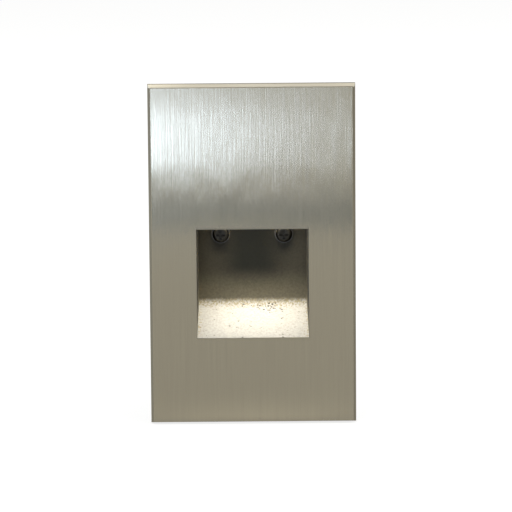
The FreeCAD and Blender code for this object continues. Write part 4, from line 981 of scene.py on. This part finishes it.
@dataclass
class PlateScrew(Assembly):
    """One of the two screws that hold the faceplate, with the thread that its CAD solid leaves out.

    Attributes:
        side: left or right, as in the node's name.
        body: The body that the screw rides on.
        x: The screw's axis along X.
        z: The screw's axis along Z.
        head_back: Where the head's underside lies.
        tip: Where the shank ends.
        crest: The thread's outer radius.
        depth: How deep the thread is cut.
        pitch: How far the thread climbs in a turn.
        overlap: How far the shank goes on inside the head, so no gap shows.
        lead_in: The length over which the shank runs down to its tip.
        tip_share: The tip's radius, as a share of the shank's.
        turn_steps: Points round the shank.
        steps_per_pitch: Rows of points in a turn of the thread.
        weld: How near the head's loose corners lie that are merged.
        rim_gap: How far behind the head's underside its shank is cut off.
    """

    side: str
    body: Body
    x: float
    z: float = 0.0047
    head_back: float = 0.0142
    tip: float = 0.0242
    crest: float = 0.00198
    depth: float = 0.00043
    pitch: float = 0.0007
    overlap: float = 0.0005
    lead_in: float = 0.0012
    tip_share: float = 0.7
    turn_steps: int = 32
    steps_per_pitch: int = 8
    weld: float = 1e-6
    rim_gap: float = 1e-5

    def thread(self) -> tuple[np.ndarray, list[list[int]]]:
        """Works out the threaded shank as radius over turn and height.

        The radius at turn t and height y is the crest less the thread's depth times a V: 1 less twice the
        distance of y/pitch - t/2pi from its nearest whole number. Near its end the radius runs down to a
        blunt tip, and at the head the shank goes on inside.

        Returns:
            The points and the faces of the closed shank.
        """
        start = self.head_back - self.overlap
        rows = int((self.tip - start) / self.pitch * self.steps_per_pitch) + 1
        y = np.linspace(start, self.tip, rows)[:, None]
        turn = np.linspace(0, 2 * math.pi, self.turn_steps, endpoint=False)[None, :]
        climb = (y - start) / self.pitch - turn / (2 * math.pi)
        groove = 1 - 2 * np.abs(climb - np.round(climb))
        radius = self.crest - self.depth * groove
        taper = np.clip((self.tip - y) / self.lead_in, 0, 1)
        radius = radius * (self.tip_share + (1 - self.tip_share) * taper)
        across, up = self.x + radius * np.cos(turn), self.z + radius * np.sin(turn)
        points = np.stack([across, np.broadcast_to(y, radius.shape), up], -1).reshape(-1, 3)
        n = self.turn_steps
        i, j = np.meshgrid(np.arange(rows - 1), np.arange(n), indexing="ij")
        a, b = i * n + j, i * n + (j + 1) % n
        faces = np.stack([a, b, b + n, a + n], -1).reshape(-1, 4).tolist()
        first, last = list(range(n))[::-1], list(range((rows - 1) * n, rows * n))
        return points, faces + [first, last]

    def head(self) -> bmesh.types.BMesh:
        """Copies the CAD head, cross and all, and leaves its plain shank behind.

        Returns:
            The head's faces.
        """
        copy = bmesh.new()
        copy.from_mesh(self.nodes[f"faceplate_screw_{self.side}"].data)
        bmesh.ops.remove_doubles(copy, verts=copy.verts, dist=self.weld)
        cut = self.head_back + self.rim_gap
        shank = [f for f in copy.faces if f.calc_center_median().y > cut]
        bmesh.ops.delete(copy, geom=shank, context="FACES")
        rim = [e for e in copy.edges if e.is_boundary]
        bmesh.ops.holes_fill(copy, edges=rim)
        return copy

    def build(self) -> None:
        """Joins the head and the threaded shank into the piece that stands for the CAD screw."""
        points, faces = self.thread()
        mesh = bpy.data.meshes.new(f"threaded_screw_{self.side}")
        mesh.from_pydata(points.tolist(), [], faces)
        whole = self.head()
        whole.from_mesh(mesh)
        bmesh.ops.recalc_face_normals(whole, faces=whole.faces)
        whole.to_mesh(mesh)
        whole.free()
        mesh.shade_flat()
        piece = placed(mesh.name, mesh)
        mesh.materials.append(TURNED_STEEL.material())
        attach(piece, self.body.value)
        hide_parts(f"faceplate_screw_{self.side}")
        log.info("built %s: %d faces", piece.name, len(mesh.polygons))

    def finishes(self) -> dict[str, Finish]:
        """Dresses the sealing washer; the screw itself gets its finish as it is built."""
        return {f"screw_washer_{self.side}": MOULDED_WASHER}


@dataclass
class LampEngine(Assembly):
    """The lamp over the recess: board, phosphor, reflector, lens and what holds and feeds them.

    Attributes:
        window: The lit window's centre, just under the lens.
        width: The lit window's width.
        depth: The lit window's depth.
        watts: The light that falls into the recess.
        spread: The full angle that the reflector lets out, in degrees.
        colour: The light's colour.
    """

    window: Place = (0.0015, 0.0063, 0.0096)
    width: float = 0.038
    depth: float = 0.0105
    watts: float = 0.0118
    spread: float = 90.0
    colour: str = "#FFF9EE"

    def finishes(self) -> dict[str, Finish]:
        """Gives each piece of the lamp its finish."""
        return {
            "heat_sink": MILLED_ALUMINIUM,
            "heat_sink_screws": PLATED_SCREW,
            "thermal_pad": FILLED_SILICONE,
            "led_board": WHITE_BOARD,
            "led_chips": LIT_PHOSPHOR,
            "led_connector": NATURAL_NYLON,
            "reflector": WHITE_REFLECTOR,
            "lens_gasket": MOULDED_SILICONE,
            "lens": ETCHED_LENS,
            "lens_retainer": STAMPED_STAINLESS,
            "lens_screws": PLATED_SCREW,
            "led_lead_positive": RED_LEAD,
            "led_lead_negative": BLACK_LEAD,
            "lead_seal": MOULDED_RUBBER,
        }

    def light(self) -> None:
        """Hangs the lamp's own light under the lens, where it rides with the housing."""
        lamp = area_light("lamp_light", (self.width, self.depth), self.watts, self.colour)
        lamp.data.spread = math.radians(self.spread)
        lamp.location = self.window
        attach(lamp, Body.WALL_UNIT.value)


@dataclass
class Driver(Assembly):
    """The power supply in the housing's rear room.

    Attributes:
        fuse_cap: The length of one of the fuse's plated caps.
    """

    fuse_cap: float = 0.0022

    def fuse_finish(self) -> Banded:
        """Works out the fuse's finish from its length: a ceramic tube between two plated caps.

        Returns:
            The finish.
        """
        low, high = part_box("fuse")
        axis = int(np.argmax(np.array(high) - np.array(low)))
        # Ceramic tube, fired, with pressed and plated caps.
        return Banded(
            "fired_ceramic_with_plated_caps", "#DCD6C6", "#D2CBBA", 0.45, depth_mm=0.004,
            axis=axis, start=low[axis] + self.fuse_cap, end=high[axis] - self.fuse_cap,
        )

    def finishes(self) -> dict[str, Finish]:
        """Gives each piece of the driver its finish."""
        return {
            "driver_board": GREEN_BOARD,
            "driver_board_screws": PLATED_SCREW,
            "transformer_core": SINTERED_FERRITE,
            "transformer_coil": WOUND_TAPE,
            "input_capacitor": BLACK_SLEEVE,
            "output_capacitor": BLUE_SLEEVE,
            "film_capacitor": MOULDED_YELLOW,
            "filter_choke": SINTERED_FERRITE,
            "fuse": self.fuse_finish(),
            "varistor": DIPPED_EPOXY,
            "bridge_rectifier": MOULDED_EPOXY,
            "control_chip": MOULDED_EPOXY,
            "input_terminal": GREEN_TERMINAL,
            "output_connector": NATURAL_NYLON,
        }


class Housing(Assembly):
    """The cast housing, the strap that mounts it and the cover that closes it."""

    def finishes(self) -> dict[str, Finish]:
        """Gives each piece of the housing its finish."""
        return {
            "rear_housing": BLASTED_ALUMINIUM,
            "mounting_strap": PLATED_SHEET,
            "strap_screws": PLATED_SCREW,
            "earth_screw": DYED_SCREW,
            "rear_cover": TEXTURED_COVER,
            "cover_gasket": MOULDED_SILICONE,
            "cover_screws": PLATED_SCREW,
            "lead_grommet": MOULDED_RUBBER,
        }


def seen_directly(tree: Tree) -> Socket:
    """Gives 1 to rays that show a surface: from the camera, off gloss or through glass.

    Args:
        tree: The material's or world's nodes.

    Returns:
        The share, 0 or 1.
    """
    rays = ("Is Camera Ray", "Is Glossy Ray", "Is Transmission Ray")
    seen = [add_node(tree, "LightPath", out=name) for name in rays]
    first = add_node(tree, "Math", {0: seen[0], 1: seen[1]}, operation="MAXIMUM")
    return add_node(tree, "Math", {0: first, 1: seen[2]}, operation="MAXIMUM")


@dataclass
class Sheet:
    """A flat sheet of matt paper that lights the object plainly and looks paler where it is seen.

    Attributes:
        name: Its name.
        paper: Its material's name.
        x: Its left and right edges.
        y: Its front and back edges.
        z: Its height.
        plain: Its colour where only the object sees it.
        seen: Its colour where it shows.
        glow: The colour of the light added there.
        strength: How much is added, where 1 shows as white.
    """

    name: str
    paper: str
    x: Span
    y: Span
    z: float
    plain: str
    seen: str
    glow: str
    strength: float

    def material(self) -> bpy.types.Material:
        """Makes the paper.

        Returns:
            The paper.
        """
        material = bpy.data.materials.new(self.paper)
        tree = blank_tree(material)
        matt = add_node(tree, "BsdfDiffuse", {"Color": linear(self.plain)})
        shaded = add_node(tree, "BsdfDiffuse", {"Color": linear(self.seen)})
        lift = add_node(tree, "Emission", {"Color": linear(self.glow), "Strength": self.strength})
        shown = add_node(tree, "AddShader", {0: shaded, 1: lift})
        mixed = add_node(tree, "MixShader", {0: seen_directly(tree), 1: matt, 2: shown})
        add_node(tree, "OutputMaterial", {"Surface": mixed})
        return material

    def build(self) -> Thing:
        """Lays the sheet, facing up.

        Returns:
            The sheet.
        """
        mesh = bpy.data.meshes.new(self.name)
        (left, right), (front, back) = self.x, self.y
        corners = [(left, front), (right, front), (right, back), (left, back)]
        mesh.from_pydata([(*corner, self.z) for corner in corners], [], [(0, 1, 2, 3)])
        mesh.materials.append(self.material())
        return placed(self.name, mesh)


@dataclass
class Studio:
    """Floor, world, soft lamps and the camera.

    Attributes:
        floor_z: The floor's height, just under the plate's lower edge.
        floor_size: The floor's side.
        floor_glow: What brings the floor up to white where it is seen.
        surround: The world's light on the object.
        card_y: The grey card's front and back edges.
        card_half: Half the card's width.
        card_lift: How far the card lies over the floor.
        card_glow: The daylight that the card throws back.
        strip_place: The daylight strips' middle along X and Y.
        strip_width: Their width.
        daylight: Their colour.
        elevation: The camera's height angle over the object's middle, in degrees.
        distance: How far the camera stands from the origin.
        focal_pixels: The focal length in pixels of the photograph.
        roll: How far the photograph's content is turned counter-clockwise, in degrees.
        centre_pixels: Where the origin shows in the photograph, from its top left.
        sensor_mm: The sensor's width.
        clip: The nearest and farthest that the camera sees.
    """

    floor_z: float = -0.06355
    floor_size: float = 14.0
    floor_glow: float = 0.76
    surround: float = 0.42
    card_y: Span = (-0.50, -0.425)
    card_half: float = 0.6
    card_lift: float = 0.0005
    card_glow: float = 0.44
    strip_place: Span = (-0.248, -0.5)
    strip_width: float = 0.4
    daylight: str = "#C5DAFF"
    elevation: float = 10.4
    distance: float = 1.415
    focal_pixels: float = 3830.0
    roll: float = 0.46
    centre_pixels: Span = (252.5, 253.1)
    sensor_mm: float = 36.0
    clip: Span = (0.05, 50.0)

    def floor(self) -> None:
        """Lays a plain pale floor that shows white and keeps a soft shadow."""
        side = (-self.floor_size / 2, self.floor_size / 2)
        floor = Sheet(
            "floor", "matt_white_paper", side, side, self.floor_z,
            plain="#E6E6E4", seen="#B4B4B2", glow="#FFFFFF", strength=self.floor_glow,
        ).build()

    def world(self) -> None:
        """Surrounds the object with an even light that shows as white."""
        world = bpy.data.worlds.new("white_surround")
        bpy.context.scene.world = world
        tree = blank_tree(world)
        run = Ramp(0.0, 1.0, self.surround)
        strength = add_node(tree, "MapRange", run.feeds(seen_directly(tree)))
        light = add_node(tree, "Background", {"Color": WHITE, "Strength": strength})
        add_node(tree, "OutputWorld", {"Surface": light})

    def card(self) -> None:
        """Lays a grey card far in front, which the face mirrors as the quiet band under its highlight.

        Only mirrored rays see it: it shows in no view and throws no shadow on the floor below it.
        """
        side = (-self.card_half, self.card_half)
        level = self.floor_z + self.card_lift
        card = Sheet(
            "grey_card", "matt_grey_card", side, self.card_y, level,
            plain="#8C8C8A", seen="#8C8C8A", glow="#CFE4FF", strength=self.card_glow,
        ).build()
        card.visible_camera = card.visible_diffuse = card.visible_shadow = False

    def lamp(
        self, name: str, place: Place, aim: Place, size: Span, watts: float, colour: str = "#FFFFFF"
    ) -> None:
        """Hangs one soft box.

        Args:
            name: The lamp's name.
            place: Where it hangs.
            aim: The point that it faces.
            size: Its width and height.
            watts: Its power.
            colour: Its colour.
        """
        lamp = area_light(name, size, watts, colour)
        away = Vector(place) - Vector(aim)
        lamp.matrix_world = Matrix.Translation(place) @ away.to_track_quat("Z", "Y").to_matrix().to_4x4()

    def lamps(self) -> None:
        """Hangs the soft boxes, and the low daylight strips that the face mirrors as its highlight."""
        # Each box's place, aim, size and power.
        boxes = [
            ("left_box", (-0.9, -0.9, 1.1), (0, 0, 0), (0.8, 0.8), 5.0),
            ("right_box", (1.1, -0.4, 0.9), (0, 0, 0), (0.7, 0.7), 5.0),
            ("back_box", (0, 0.9, 0.65), (0, 0, 0.06), (0.9, 0.35), 1.2),
        ]
        for box in boxes:
            self.lamp(*box)
        x, y = self.strip_place
        # Each strip's lower and upper edge over the floor, and its power.
        strips = [("low_strip", 0.013, 0.046, 0.5), ("upper_strip", 0.046, 0.085, 0.215)]
        for name, low, high, watts in strips:
            z = self.floor_z + (low + high) / 2
            self.lamp(name, (x, y, z), (x, 0, z), (self.strip_width, high - low), watts, self.daylight)

    def camera(self) -> None:
        """Puts the camera where the photograph was taken from.

        The lens is the focal length in pixels turned to the sensor's width, and the shift moves the origin
        to its pixel.
        """
        data = bpy.data.cameras.new("photo_camera")
        data.sensor_width = self.sensor_mm
        data.lens = self.focal_pixels * data.sensor_width / PICTURE_PIXELS
        data.shift_x = (PICTURE_PIXELS / 2 - self.centre_pixels[0]) / PICTURE_PIXELS
        data.shift_y = (self.centre_pixels[1] - PICTURE_PIXELS / 2) / PICTURE_PIXELS
        data.clip_start, data.clip_end = self.clip
        camera = placed(data.name, data)
        lift = math.radians(self.elevation)
        place = Vector((0, -self.distance * math.cos(lift), self.distance * math.sin(lift)))
        look = (-place).to_track_quat("-Z", "Y").to_matrix().to_4x4()
        turn = Matrix.Rotation(-math.radians(self.roll), 4, "Z")
        camera.matrix_world = Matrix.Translation(place) @ look @ turn
        bpy.context.scene.camera = camera

    def build(self) -> None:
        """Builds the whole studio."""
        self.floor()
        self.card()
        self.world()
        self.lamps()
        self.camera()
        bpy.context.scene.view_settings.view_transform = "Standard"


def main() -> None:
    """Builds the light's looks and its studio in order."""
    logging.basicConfig(level=logging.INFO, format="%(name)s: %(message)s")
    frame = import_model()
    nodes = frame["nodes"]
    Studio().build()
    left = PlateScrew(nodes, "left", Body.SCREW_LEFT, -0.0118)
    right = PlateScrew(nodes, "right", Body.SCREW_RIGHT, 0.0118)
    engine = LampEngine(nodes)
    for screw in (left, right):
        screw.build()
    engine.light()
    for assembly in (Faceplate(nodes), left, right, engine, Driver(nodes), Housing(nodes)):
        assembly.dress()


if __name__ == "__main__":
    main()
